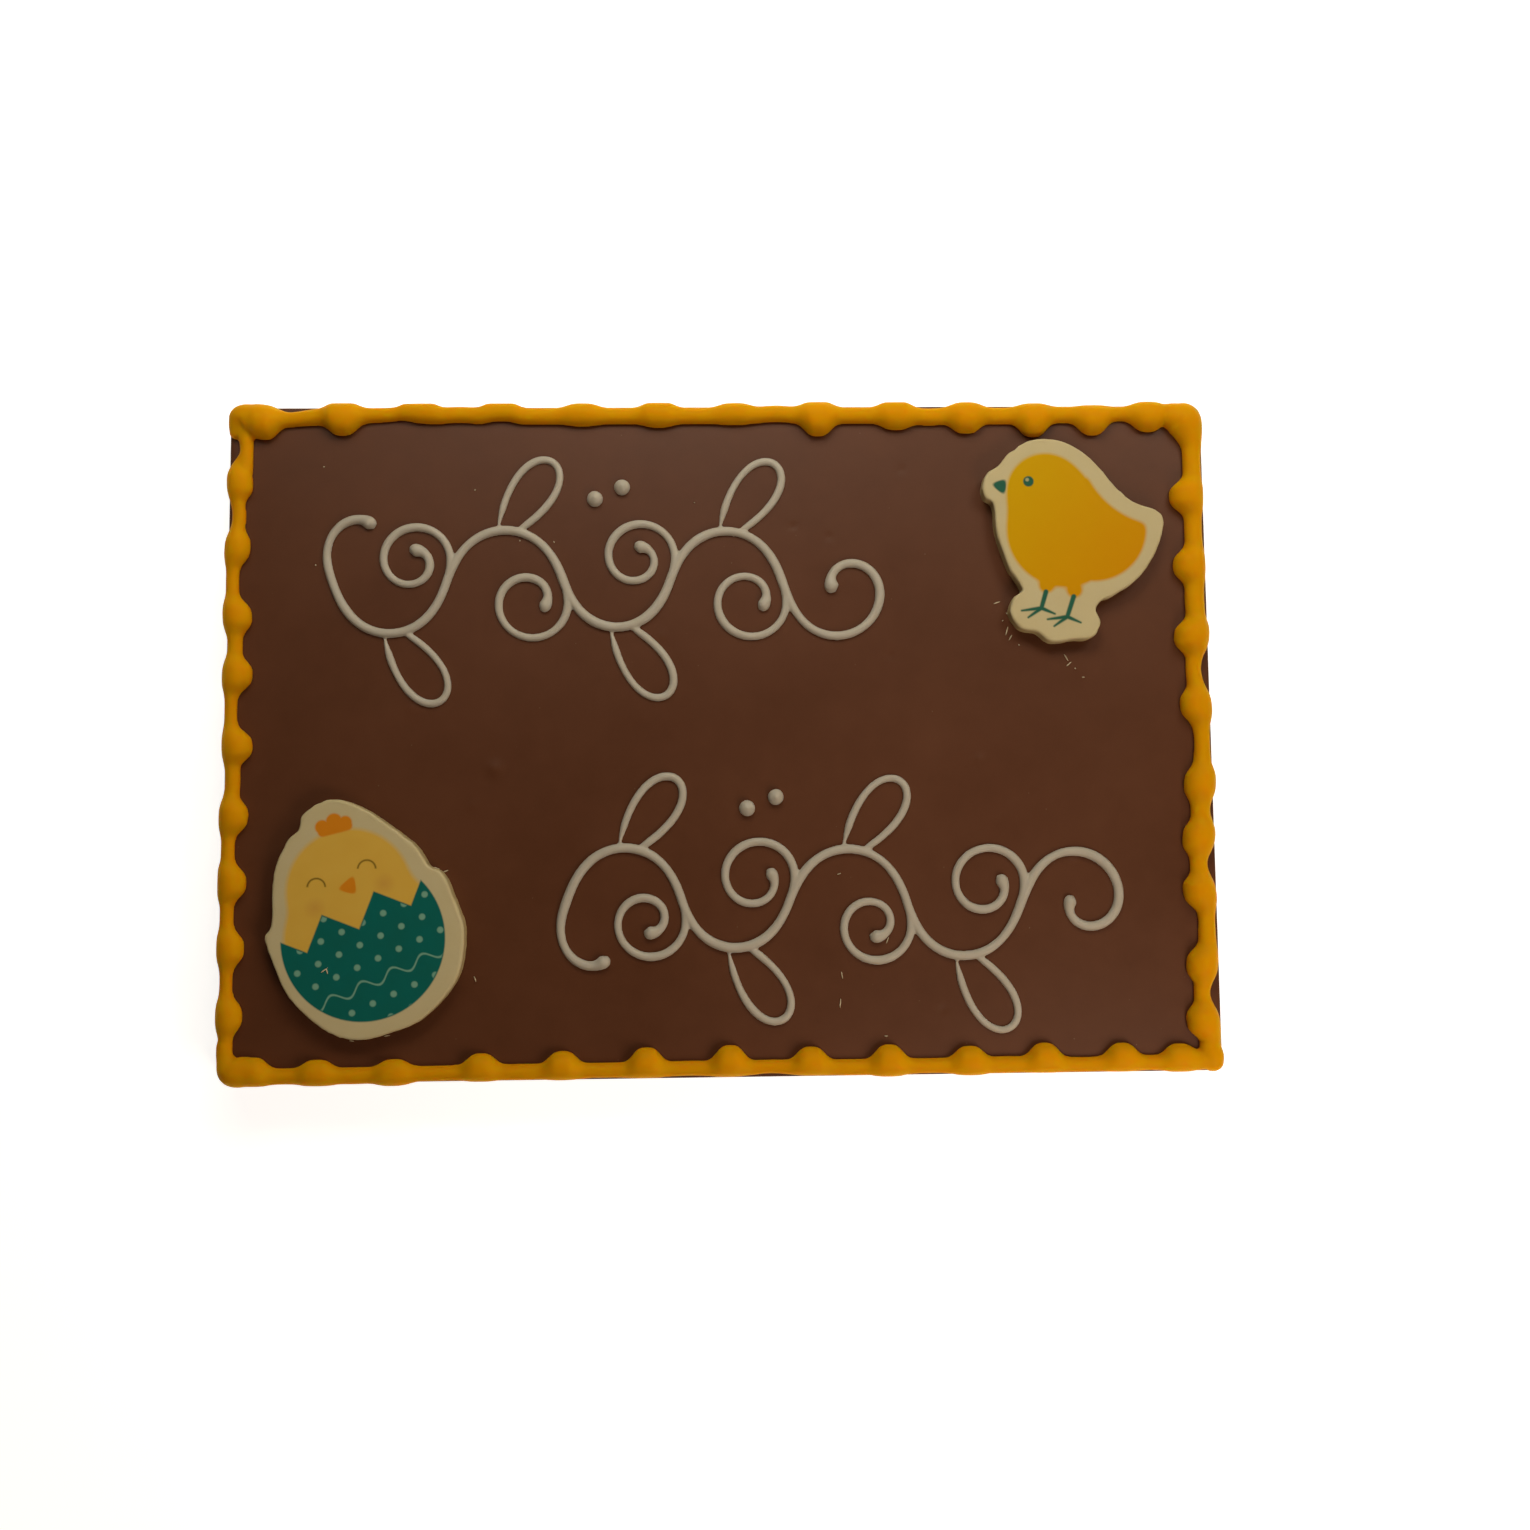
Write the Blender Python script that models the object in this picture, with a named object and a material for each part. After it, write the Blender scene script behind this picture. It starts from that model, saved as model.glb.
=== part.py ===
"""A decorated tablet of milk chocolate.

A cast slab carries a beaded border piped in four runs, two printed white-chocolate plaques (a
chick, and a chick hatching from its egg), and two piped vines with four loose dots.

The origin is the middle of the slab's underside, +X runs along the long side, +Y across it and
+Z up. Sizes below are in millimetres, and MM turns them into Blender's metres.
"""

import math

import bmesh
import bpy
from mathutils import Vector

MM = 0.001

# The slab is cast in a mould whose walls lean outwards, so its foot is larger than its top.
SLAB_LENGTH = 200.0
SLAB_WIDTH = 137.0
SLAB_HEIGHT = 8.0
SLAB_DRAFT = 0.7
SLAB_CORNER_RADIUS = 2.5
SLAB_RIM_RADIUS = 0.5

# Whatever lies on the slab keeps this gap to it, and the border's runs keep it to each other.
CONTACT_GAP = 0.3
DECK = SLAB_HEIGHT + CONTACT_GAP

# Icing settles to a nearly half-round line: its round sits a little above its flat foot.
ICING_LIFT = 0.15
ICING_FACETS = 6
WELD_DISTANCE = 1e-6

# The border is a line with a bead at every pause of the bag.
BORDER_INSET = 2.6
BORDER_NECK_RADIUS = 1.5
BORDER_STATION = 2.8
BORDER_END = 1.2
BEAD_SPREAD = 2.4
BEAD_OUTWARD = 0.7
SIDE_RUN_REACH = 62.5

# Beads as (place along the run, how far the bead swells towards the slab's middle).
BEADS_TOP = [
    (-93, 3.1), (-76.5, 2.0), (-61, 0.2), (-44.5, 0.2), (-28, 0.4), (-12.5, 0.7), (3, 0.4),
    (20, 2.3), (36, 1.2), (50.5, 2.0), (64.3, 2.4), (76.6, 2.4), (88, 2.1),
]
BEADS_BOTTOM = [
    (-94, 2.0), (-80, 1.9), (-65, 1.4), (-48, 2.3), (-32, 2.3), (-15.5, 2.7), (1, 3.0),
    (17, 2.5), (32.5, 2.7), (48.5, 2.4), (63.5, 2.6), (79, 2.4), (91, 2.2),
]
BEADS_LEFT = [
    (-54.5, 1.5), (-41, 2.0), (-28, 2.5), (-15.5, 2.3), (-0.5, 2.6), (13, 2.5), (25.5, 2.3),
    (38.5, 1.6), (52, 1.5),
]
BEADS_RIGHT = [
    (-58.5, 2.9), (-47, 2.6), (-32, 2.8), (-21, 2.4), (-10, 2.0), (5.5, 2.3), (20, 3.3),
    (34.5, 2.8), (48.5, 3.1),
]

# The plaques are cut from a cast sheet round the printed figures.
PLAQUE_THICKNESS = 3.0
PLAQUE_RIM_RADIUS = 0.5
PLAQUE_STEPS_PER_SPAN = 2

CHICK_CENTRE = (71.5, 39.0)
CHICK_OUTLINE = [
    (-18.3, 11.4), (-17.3, 13.9), (-15.0, 15.5), (-12.8, 17.9), (-8.8, 20.5), (-5.0, 20.9),
    (-1.3, 20.2), (3.7, 17.0), (9.4, 10.4), (12.8, 7.7), (16.8, 6.2), (18.4, 4.0),
    (17.2, -1.3), (13.2, -7.6), (7.8, -11.3), (5.2, -12.4), (4.2, -14.4), (4.9, -16.8),
    (3.4, -19.8), (-0.9, -20.3), (-5.1, -20.7), (-7.8, -18.8), (-11.1, -17.9), (-13.3, -14.8),
    (-12.4, -11.7), (-10.7, -9.8), (-13.4, -5.2), (-15.6, 1.7), (-16.1, 7.2), (-17.8, 9.0),
]

HATCHING_CENTRE = (-70.5, -35.5)
HATCHING_OUTLINE = [
    (-5.2, 23.3), (-0.5, 21.5), (3.2, 19.1), (9.7, 14.2), (12.5, 10.1), (15.3, 8.4),
    (17.9, 2.6), (19.5, -3.0), (18.2, -11.8), (12.0, -19.3), (6.0, -22.1), (-1.0, -23.6),
    (-7.3, -21.7), (-14.4, -15.3), (-18.2, -7.0), (-19.2, -3.5), (-18.0, -0.7), (-17.7, 8.7),
    (-15.2, 15.1), (-13.0, 17.4), (-12.3, 20.2), (-8.9, 22.7),
]

# Each vine is a stem that swings from side to side, with a curl at every crossing and a leaf,
# drawn as a loop, at the top of every swing.
UPPER_VINE_START = (-78.0, 31.0)
UPPER_VINE_SPANS = (25.0, 26.0, 24.0, 25.0)
LOWER_VINE_START = (-31.0, -32.0)
LOWER_VINE_SPANS = (25.0, 24.0, 26.0, 25.0)
VINE_SWING = math.radians(70)
STEM_RADIUS = 0.95
CURL_RADIUS = 0.85
LEAF_RADIUS = 0.8
LEAF_LENGTH = 17.0
LEAF_WIDTH = 7.4
LEAF_FOOT_SPACING = 3.2
LEAF_LEAN = math.radians(56)

# A line starts and stops in a blob: it grows by BLOB_GROWTH at BLOB_REACH from its rounded end.
BLOB_GROWTH = 1.45
BLOB_REACH = 1.3
BLOB_STRETCH = 4.0

# A swing's bend, as (share of the swing's length, share of its mean curvature).
SWING_BENDS = [(0.0, 0.35), (0.3, 1.3), (0.4, 1.3), (0.3, 0.35)]

# Bends as (length of line up to here, curvature here in 1/mm).
WIDE_CURL = [(0, 0.03), (6, 1 / 7.0), (15, 1 / 6.6), (14, 1 / 4.6), (11, 1 / 2.6)]
TIGHT_CURL = [(0, 0.03), (6, 1 / 7.0), (15, 1 / 7.0), (15, 1 / 5.0), (9, 1 / 3.0)]
VINE_TIP = [(0, 0.0), (12, 1 / 9.0), (15, 1 / 9.0), (14, 1 / 5.0), (8, 1 / 2.8)]
VINE_ROOT = [(0, 0.0), (6, -1 / 10.0), (9, -1 / 6.0), (6, -1 / 3.0)]

# Paths are drawn in short steps, then kept only where the line has turned or run on this far.
PATH_STEP = 0.25
STATION_TURN = math.radians(30)
STATION_LENGTH = 5.0
BLOB_STATION = 0.9
SHORTEST_STATION = 0.4

DOT_RADIUS = 1.6
DOTS = [(-25.5, 48.6), (-20.0, 51.0), (4.8, -14.6), (10.6, -12.4)]


def linear(red, green, blue):
    """Turn a colour in screen values from 0 to 255 into linear light, with full alpha."""
    channels = [channel / 255 for channel in (red, green, blue)]
    return [c / 12.92 if c <= 0.04045 else ((c + 0.055) / 1.055) ** 2.4 for c in channels] + [1]


def make_material(name, colour, roughness):
    material = bpy.data.materials.new(name)
    material.use_nodes = True
    shader = material.node_tree.nodes["Principled BSDF"]
    shader.inputs["Base Color"].default_value = colour
    shader.inputs["Roughness"].default_value = roughness
    shader.inputs["Metallic"].default_value = 0.0
    return material


def add_object(name, data, material=None):
    piece = bpy.data.objects.new(name, data)
    bpy.context.scene.collection.objects.link(piece)
    if material:
        data.materials.append(material)
    return piece


def add_mesh(name, bm, material):
    bmesh.ops.recalc_face_normals(bm, faces=bm.faces)
    mesh = bpy.data.meshes.new(name)
    bm.to_mesh(mesh)
    bm.free()
    mesh.shade_smooth()
    mesh.set_sharp_from_angle(angle=math.radians(35))
    return add_object(name, mesh, material)


def hide_as_guide(piece):
    piece.hide_render = True
    piece.display_type = "WIRE"


# ---- Slab ----


def make_slab(material):
    bm = bmesh.new()
    bmesh.ops.create_cube(bm, size=1)
    bmesh.ops.translate(bm, vec=(0, 0, 0.5), verts=bm.verts)
    bmesh.ops.scale(bm, vec=Vector((SLAB_LENGTH, SLAB_WIDTH, SLAB_HEIGHT)) * MM, verts=bm.verts)
    uprights = [e for e in bm.edges if e.verts[0].co.xy == e.verts[1].co.xy]
    bmesh.ops.bevel(
        bm, geom=uprights, offset=SLAB_CORNER_RADIUS * MM, segments=4, affect="EDGES", profile=0.5
    )
    top = [v for v in bm.verts if v.co.z > SLAB_HEIGHT * MM / 2]
    narrowing = (1 - 2 * SLAB_DRAFT / SLAB_LENGTH, 1 - 2 * SLAB_DRAFT / SLAB_WIDTH, 1)
    bmesh.ops.scale(bm, vec=narrowing, verts=top)
    rim = [e for e in bm.edges if all(v in top for v in e.verts)]
    bmesh.ops.bevel(
        bm, geom=rim, offset=SLAB_RIM_RADIUS * MM, segments=2, affect="EDGES", profile=0.5
    )
    add_mesh("slab", bm, material)


# ---- Lines of icing ----


def make_icing_profile():
    """The cross-section of a line of icing with a radius of 1 mm: a round with a flat foot."""
    outline = bpy.data.curves.new("icing_profile", "CURVE")
    outline.dimensions = "2D"
    spline = outline.splines.new("POLY")
    spline.points.add(ICING_FACETS)
    foot_angle = -math.asin(ICING_LIFT)
    sweep = math.pi - 2 * foot_angle
    for facet, point in enumerate(spline.points):
        angle = foot_angle + sweep * facet / ICING_FACETS
        point.co = (math.cos(angle) * MM, (math.sin(angle) + ICING_LIFT) * MM, 0, 1)
    spline.use_cyclic_u = True
    profile = add_object("icing_profile", outline)
    hide_as_guide(profile)
    return profile


def make_line(stations, profile):
    """A closed bmesh of the icing's profile swept through stations of (x, y, radius), in mm."""
    line = bpy.data.curves.new("line", "CURVE")
    line.dimensions = "3D"
    line.twist_mode = "Z_UP"
    line.bevel_mode = "OBJECT"
    line.bevel_object = profile
    line.use_fill_caps = True
    spline = line.splines.new("POLY")
    spline.points.add(len(stations) - 1)
    for point, (x, y, radius) in zip(spline.points, stations):
        point.co = (x * MM, y * MM, DECK * MM, 1)
        point.radius = radius
    guide = add_object("line", line)
    evaluated = guide.evaluated_get(bpy.context.evaluated_depsgraph_get())
    bm = bmesh.new()
    bm.from_mesh(evaluated.to_mesh())
    bpy.data.objects.remove(guide)
    bmesh.ops.remove_doubles(bm, verts=bm.verts, dist=WELD_DISTANCE)
    return bm


# ---- Border ----


def end_rounding(distance, radius):
    """How much of its radius a line has left at this distance from its rounded end."""
    short = max(0.0, 1 - distance / radius)
    return max(0.25, math.sqrt(1 - short * short))


def make_border_run(name, reach, beads, along, inward, rounded, profile, material):
    """Lay one run of the border: along is its direction and inward points to the slab's middle."""
    along, inward = Vector(along), Vector(inward)
    half_width = SLAB_LENGTH / 2 if inward.x else SLAB_WIDTH / 2
    middle = -inward * (half_width - BORDER_INSET)
    ends = [0.0, 0.5, BORDER_END] if rounded else [0.0]
    inner = round(2 * (reach - ends[-1]) / BORDER_STATION)
    places = [end - reach for end in ends[:-1]]
    places += [(reach - ends[-1]) * (2 * i / inner - 1) for i in range(inner + 1)]
    places += [reach - end for end in reversed(ends[:-1])]
    stations = []
    for place in places:
        radius, shift = BORDER_NECK_RADIUS, 0.0
        for bead, swell in beads:
            bell = math.exp(-(((place - bead) / BEAD_SPREAD) ** 2) / 2)
            radius += (swell + BEAD_OUTWARD) / 2 * bell
            shift += (swell - BEAD_OUTWARD) / 2 * bell
        if rounded:
            radius *= end_rounding(reach - abs(place), BORDER_END)
        centre = middle + along * place + inward * shift
        stations.append((centre.x, centre.y, radius))
    add_mesh(name, make_line(stations, profile), material)


def make_border(profile, material):
    long_reach = SLAB_LENGTH / 2 - 1.0
    runs = [
        ("border_top", long_reach, BEADS_TOP, (1, 0), (0, -1), True),
        ("border_bottom", long_reach, BEADS_BOTTOM, (1, 0), (0, 1), True),
        ("border_left", SIDE_RUN_REACH, BEADS_LEFT, (0, 1), (1, 0), False),
        ("border_right", SIDE_RUN_REACH, BEADS_RIGHT, (0, 1), (-1, 0), False),
    ]
    for name, reach, beads, along, inward, rounded in runs:
        make_border_run(name, reach, beads, along, inward, rounded, profile, material)


# ---- Plaques ----


def smooth_outline(points):
    """Points on the smooth closed curve that passes through the given ones."""
    outline = []
    for index in range(len(points)):
        a, b, c, d = (Vector(points[(index + k) % len(points)]) for k in (-1, 0, 1, 2))
        for step in range(PLAQUE_STEPS_PER_SPAN):
            t = step / PLAQUE_STEPS_PER_SPAN
            square = (2 * a - 5 * b + 4 * c - d) * t**2
            cube = (3 * b - a - 3 * c + d) * t**3
            outline.append((2 * b + (c - a) * t + square + cube) / 2)
    return outline


def make_plaque(name, centre, points, material):
    bm = bmesh.new()
    corners = [Vector(centre) + point for point in smooth_outline(points)]
    foot = bm.faces.new([bm.verts.new((c.x * MM, c.y * MM, DECK * MM)) for c in corners])
    raised = bmesh.ops.extrude_face_region(bm, geom=[foot])["geom"]
    top = [v for v in raised if isinstance(v, bmesh.types.BMVert)]
    bmesh.ops.translate(bm, vec=(0, 0, PLAQUE_THICKNESS * MM), verts=top)
    rim = [e for e in raised if isinstance(e, bmesh.types.BMEdge)]
    bmesh.ops.bevel(
        bm, geom=rim, offset=PLAQUE_RIM_RADIUS * MM, segments=2, affect="EDGES", profile=0.5
    )
    add_mesh(name, bm, material)


# ---- Vines ----


def draw_path(start, heading, bends, side=1):
    """Follow a line whose curvature changes evenly from bend to bend; side 1 curves to the left.

    Gives its points, PATH_STEP apart, and the heading at its end."""
    points = [Vector(start)]
    curvature = bends[0][1] * side
    for length, next_curvature in bends[1:]:
        steps = round(length / PATH_STEP)
        change = (next_curvature * side - curvature) / steps
        for _ in range(steps):
            heading += (curvature + change / 2) * PATH_STEP
            curvature += change
            points.append(points[-1] + PATH_STEP * Vector((math.cos(heading), math.sin(heading))))
    return points, heading


def draw_leaf(foot, heading):
    """A loop of line that leaves the stem, turns at the leaf's tip and comes back beside itself."""
    out = Vector((math.cos(heading), math.sin(heading)))
    across = Vector((-out.y, out.x))
    first = foot - across * LEAF_FOOT_SPACING / 2
    last = foot + across * LEAF_FOOT_SPACING / 2
    pull = out * LEAF_LENGTH * 4 / 3
    flare = across * (LEAF_WIDTH / 2 - 0.24 * LEAF_FOOT_SPACING) / 0.29
    steps = round(2 * LEAF_LENGTH / PATH_STEP)
    points = []
    for step in range(steps + 1):
        t = step / steps
        start_pull = 3 * (1 - t) ** 2 * t * (first + pull - flare)
        end_pull = 3 * (1 - t) * t**2 * (last + pull + flare)
        points.append((1 - t) ** 3 * first + start_pull + end_pull + t**3 * last)
    return points


def blob(distance):
    """Growth of a line's radius at this distance from an end where the bag starts or stops."""
    swell = 1 + (BLOB_GROWTH - 1) * math.exp(-(((distance - BLOB_REACH) / BLOB_REACH) ** 2))
    return swell * end_rounding(distance, BLOB_REACH)


def distance_to_blob(along, total, blobs):
    """How far a place on a line is from the nearer of its blobs, named start and end."""
    distances = {"start": along, "end": total - along}
    return min((distances[name] for name in blobs), default=math.inf)


def stations_along(points, radius, blobs=()):
    """Keep the points that the line's bends and blobs need, and give each its radius."""
    lengths = [0.0]
    for here, there in zip(points, points[1:]):
        lengths.append(lengths[-1] + (there - here).length)
    total = lengths[-1]
    stations = [(*points[0], radius * blob(distance_to_blob(0, total, blobs)))]
    turned, since = 0.0, 0.0
    for index in range(1, len(points) - 1):
        before, here, after = points[index - 1 : index + 2]
        turned += abs((after - here).angle_signed(here - before))
        since += (here - before).length
        to_blob = distance_to_blob(lengths[index], total, blobs)
        spacing = BLOB_STATION if to_blob < BLOB_STRETCH else STATION_LENGTH
        if total - lengths[index] > SHORTEST_STATION and (since > spacing or turned > STATION_TURN):
            stations.append((*here, radius * blob(to_blob)))
            turned, since = 0.0, 0.0
    stations.append((*points[-1], radius * blob(distance_to_blob(total, total, blobs))))
    return stations


def draw_vine(start, spans, side):
    """The stem, leaves and curls of a vine, each as the stations of one line of icing."""
    point, heading = Vector(start), -side * VINE_SWING
    root, _ = draw_path(point, heading + math.pi, VINE_ROOT, side)
    stem = root[::-1]
    branches = []
    for number, span in enumerate(spans):
        curvature = 2 * math.sin(VINE_SWING) / span
        length = 2 * VINE_SWING / curvature
        bends = [(share * length, part * curvature) for share, part in SWING_BENDS]
        swing, heading = draw_path(point, heading, bends, side)
        middle = len(swing) // 2
        run = swing[middle + 1] - swing[middle]
        leaf = draw_leaf(swing[middle], math.atan2(run.y, run.x) - side * LEAF_LEAN)
        branches.append(stations_along(leaf, LEAF_RADIUS))
        bends = TIGHT_CURL if number % 2 else WIDE_CURL
        curl, _ = draw_path(swing[-1], heading, bends, side)
        branches.append(stations_along(curl, CURL_RADIUS, ["end"]))
        stem += swing[1:]
        point = swing[-1]
        side = -side
    tip, _ = draw_path(point, heading, VINE_TIP, side)
    return [stations_along(stem + tip[1:], STEM_RADIUS, ["start", "end"])] + branches


def make_vine(name, start, spans, side, profile, material):
    """Join the lines of a vine into one solid."""
    stem, *others = draw_vine(start, spans, side)
    vine = add_mesh(name, make_line(stem, profile), material)
    parts = bpy.data.collections.new(name + "_parts")
    bpy.context.scene.collection.children.link(parts)
    for number, line in enumerate(others, 1):
        part = add_mesh(f"{name}_part_{number}", make_line(line, profile), material)
        bpy.context.scene.collection.objects.unlink(part)
        parts.objects.link(part)
        hide_as_guide(part)
    union = vine.modifiers.new("join", "BOOLEAN")
    union.operation = "UNION"
    union.operand_type = "COLLECTION"
    union.collection = parts
    union.solver = "EXACT"


def make_dots(material):
    for number, (x, y) in enumerate(DOTS, 1):
        bm = bmesh.new()
        bmesh.ops.create_icosphere(bm, subdivisions=2, radius=DOT_RADIUS * MM)
        bmesh.ops.translate(bm, vec=(0, 0, ICING_LIFT * DOT_RADIUS * MM), verts=bm.verts)
        every_part = bm.verts[:] + bm.edges[:] + bm.faces[:]
        bmesh.ops.bisect_plane(
            bm, geom=every_part, plane_co=(0, 0, 0), plane_no=(0, 0, 1), clear_inner=True
        )
        bmesh.ops.holes_fill(bm, edges=[e for e in bm.edges if e.is_boundary])
        bmesh.ops.translate(bm, vec=(x * MM, y * MM, DECK * MM), verts=bm.verts)
        add_mesh(f"dot_{number}", bm, material)


def main():
    for old in list(bpy.data.objects):
        bpy.data.objects.remove(old)
    milk_chocolate = make_material("milk_chocolate", linear(97, 61, 42), 0.4)
    yellow_icing = make_material("yellow_icing", linear(208, 139, 0), 0.3)
    cream_icing = make_material("cream_icing", linear(200, 188, 160), 0.35)
    white_chocolate = make_material("white_chocolate", linear(225, 208, 160), 0.45)
    profile = make_icing_profile()
    make_slab(milk_chocolate)
    make_border(profile, yellow_icing)
    make_plaque("chick_plaque", CHICK_CENTRE, CHICK_OUTLINE, white_chocolate)
    make_plaque("hatching_plaque", HATCHING_CENTRE, HATCHING_OUTLINE, white_chocolate)
    make_vine("vine_upper", UPPER_VINE_START, UPPER_VINE_SPANS, 1, profile, cream_icing)
    make_vine("vine_lower", LOWER_VINE_START, LOWER_VINE_SPANS, -1, profile, cream_icing)
    make_dots(cream_icing)


main()
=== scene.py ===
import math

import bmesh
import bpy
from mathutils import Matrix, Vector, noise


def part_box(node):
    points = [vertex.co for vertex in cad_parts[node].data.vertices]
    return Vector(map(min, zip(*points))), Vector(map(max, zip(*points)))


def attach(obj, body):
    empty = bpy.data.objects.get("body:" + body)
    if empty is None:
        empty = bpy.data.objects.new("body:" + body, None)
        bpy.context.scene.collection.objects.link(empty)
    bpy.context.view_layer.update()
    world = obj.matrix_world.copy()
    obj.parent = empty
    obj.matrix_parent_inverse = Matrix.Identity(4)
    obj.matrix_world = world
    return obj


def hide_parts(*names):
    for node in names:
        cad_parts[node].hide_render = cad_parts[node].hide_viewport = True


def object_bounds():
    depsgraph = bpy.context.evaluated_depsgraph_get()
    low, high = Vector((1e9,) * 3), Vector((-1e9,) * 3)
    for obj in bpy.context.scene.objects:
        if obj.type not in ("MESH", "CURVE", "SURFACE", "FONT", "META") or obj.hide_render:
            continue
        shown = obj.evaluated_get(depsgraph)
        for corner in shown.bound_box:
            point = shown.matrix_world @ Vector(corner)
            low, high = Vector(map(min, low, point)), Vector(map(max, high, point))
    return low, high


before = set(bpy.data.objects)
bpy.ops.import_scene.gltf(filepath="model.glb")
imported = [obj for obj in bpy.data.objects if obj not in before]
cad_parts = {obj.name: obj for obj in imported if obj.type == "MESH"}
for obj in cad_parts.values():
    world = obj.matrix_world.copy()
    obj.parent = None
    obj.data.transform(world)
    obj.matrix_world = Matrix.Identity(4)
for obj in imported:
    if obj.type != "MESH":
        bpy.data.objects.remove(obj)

# %% [markdown]
# # A decorated tablet of milk chocolate
#
# The real thing is a cast slab of milk chocolate. A confectioner pipes a beaded border round its
# edge, lays two printed plaques of white chocolate on it, and pipes curling lines of cream icing.
# The frame holds a plain solid for each of those pieces. The cells below make the fine surface of
# each piece where its solid lies, and the plain solid is then hidden.
#
# Sizes are in millimetres, because a hand-made thing of this size is easiest to think of that way.
# `MM` turns them into Blender's metres.

MM = 0.001
cad_low, cad_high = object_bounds()
slab_low, slab_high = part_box("slab")
SLAB_LENGTH = (slab_high.x - slab_low.x) / MM
SLAB_WIDTH = (slab_high.y - slab_low.y) / MM
SLAB_HEIGHT = slab_high.z / MM
print(f"slab {SLAB_LENGTH:.1f} x {SLAB_WIDTH:.1f} x {SLAB_HEIGHT:.1f} mm")

# %% [markdown]
# ## Writing a finish as a formula
#
# A finish is a shader, and a shader is a graph of nodes. Placing dozens of Math nodes by hand is
# slow to write and hard to read, so `Amount` wraps a socket that carries a number. Adding,
# multiplying or comparing amounts adds the nodes, and `1 - mask` reads as it would on paper.
# Colours never pass through an amount, because a Math node would turn them grey.

# %% A number that changes over a surface


def math_method(operation, swapped=False):
    """A method that adds this Math node; swapped puts the other value first."""

    def method(amount, *others):
        values = (*others, amount) if swapped else (amount, *others)
        return amount.math(operation, *values)

    return method


class Amount:
    """A shader socket that carries a number, with the operators of arithmetic."""

    def __init__(self, finish, socket):
        self.finish = finish
        self.socket = socket

    def math(self, operation, *values, clamp=False):
        settings = {"operation": operation, "use_clamp": clamp}
        return self.finish.amount("ShaderNodeMath", settings, dict(enumerate(values)))

    __add__ = math_method("ADD")
    __radd__ = math_method("ADD", swapped=True)
    __sub__ = math_method("SUBTRACT")
    __rsub__ = math_method("SUBTRACT", swapped=True)
    __mul__ = math_method("MULTIPLY")
    __rmul__ = math_method("MULTIPLY", swapped=True)
    __truediv__ = math_method("DIVIDE")
    __abs__ = math_method("ABSOLUTE")
    sine = math_method("SINE")
    root = math_method("SQRT")
    floor = math_method("FLOOR")
    fraction = math_method("FRACT")
    least = math_method("MINIMUM")
    most = math_method("MAXIMUM")
    # These two also take a reach, within which the two amounts are rounded into each other.
    smooth_least = math_method("SMOOTH_MIN")
    smooth_most = math_method("SMOOTH_MAX")

    def clamped(self):
        """This amount, held between 0 and 1."""
        return self.math("ADD", self, 0.0, clamp=True)

    def inside(self, softness):
        """1 where this distance is negative and 0 outside, over a soft edge in millimetres."""
        return (0.5 - self / softness).clamped()


# %% [markdown]
# A `Finish` is one material. It starts with the place on the piece in millimetres, read from
# Object coordinates: every piece here has its place in its mesh and its origin at the frame's, so
# a pattern stays where it is when the piece is exported. Constants such as gloss or subsurface
# go straight to the shader's own sockets.

# %% A material under construction


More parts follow.
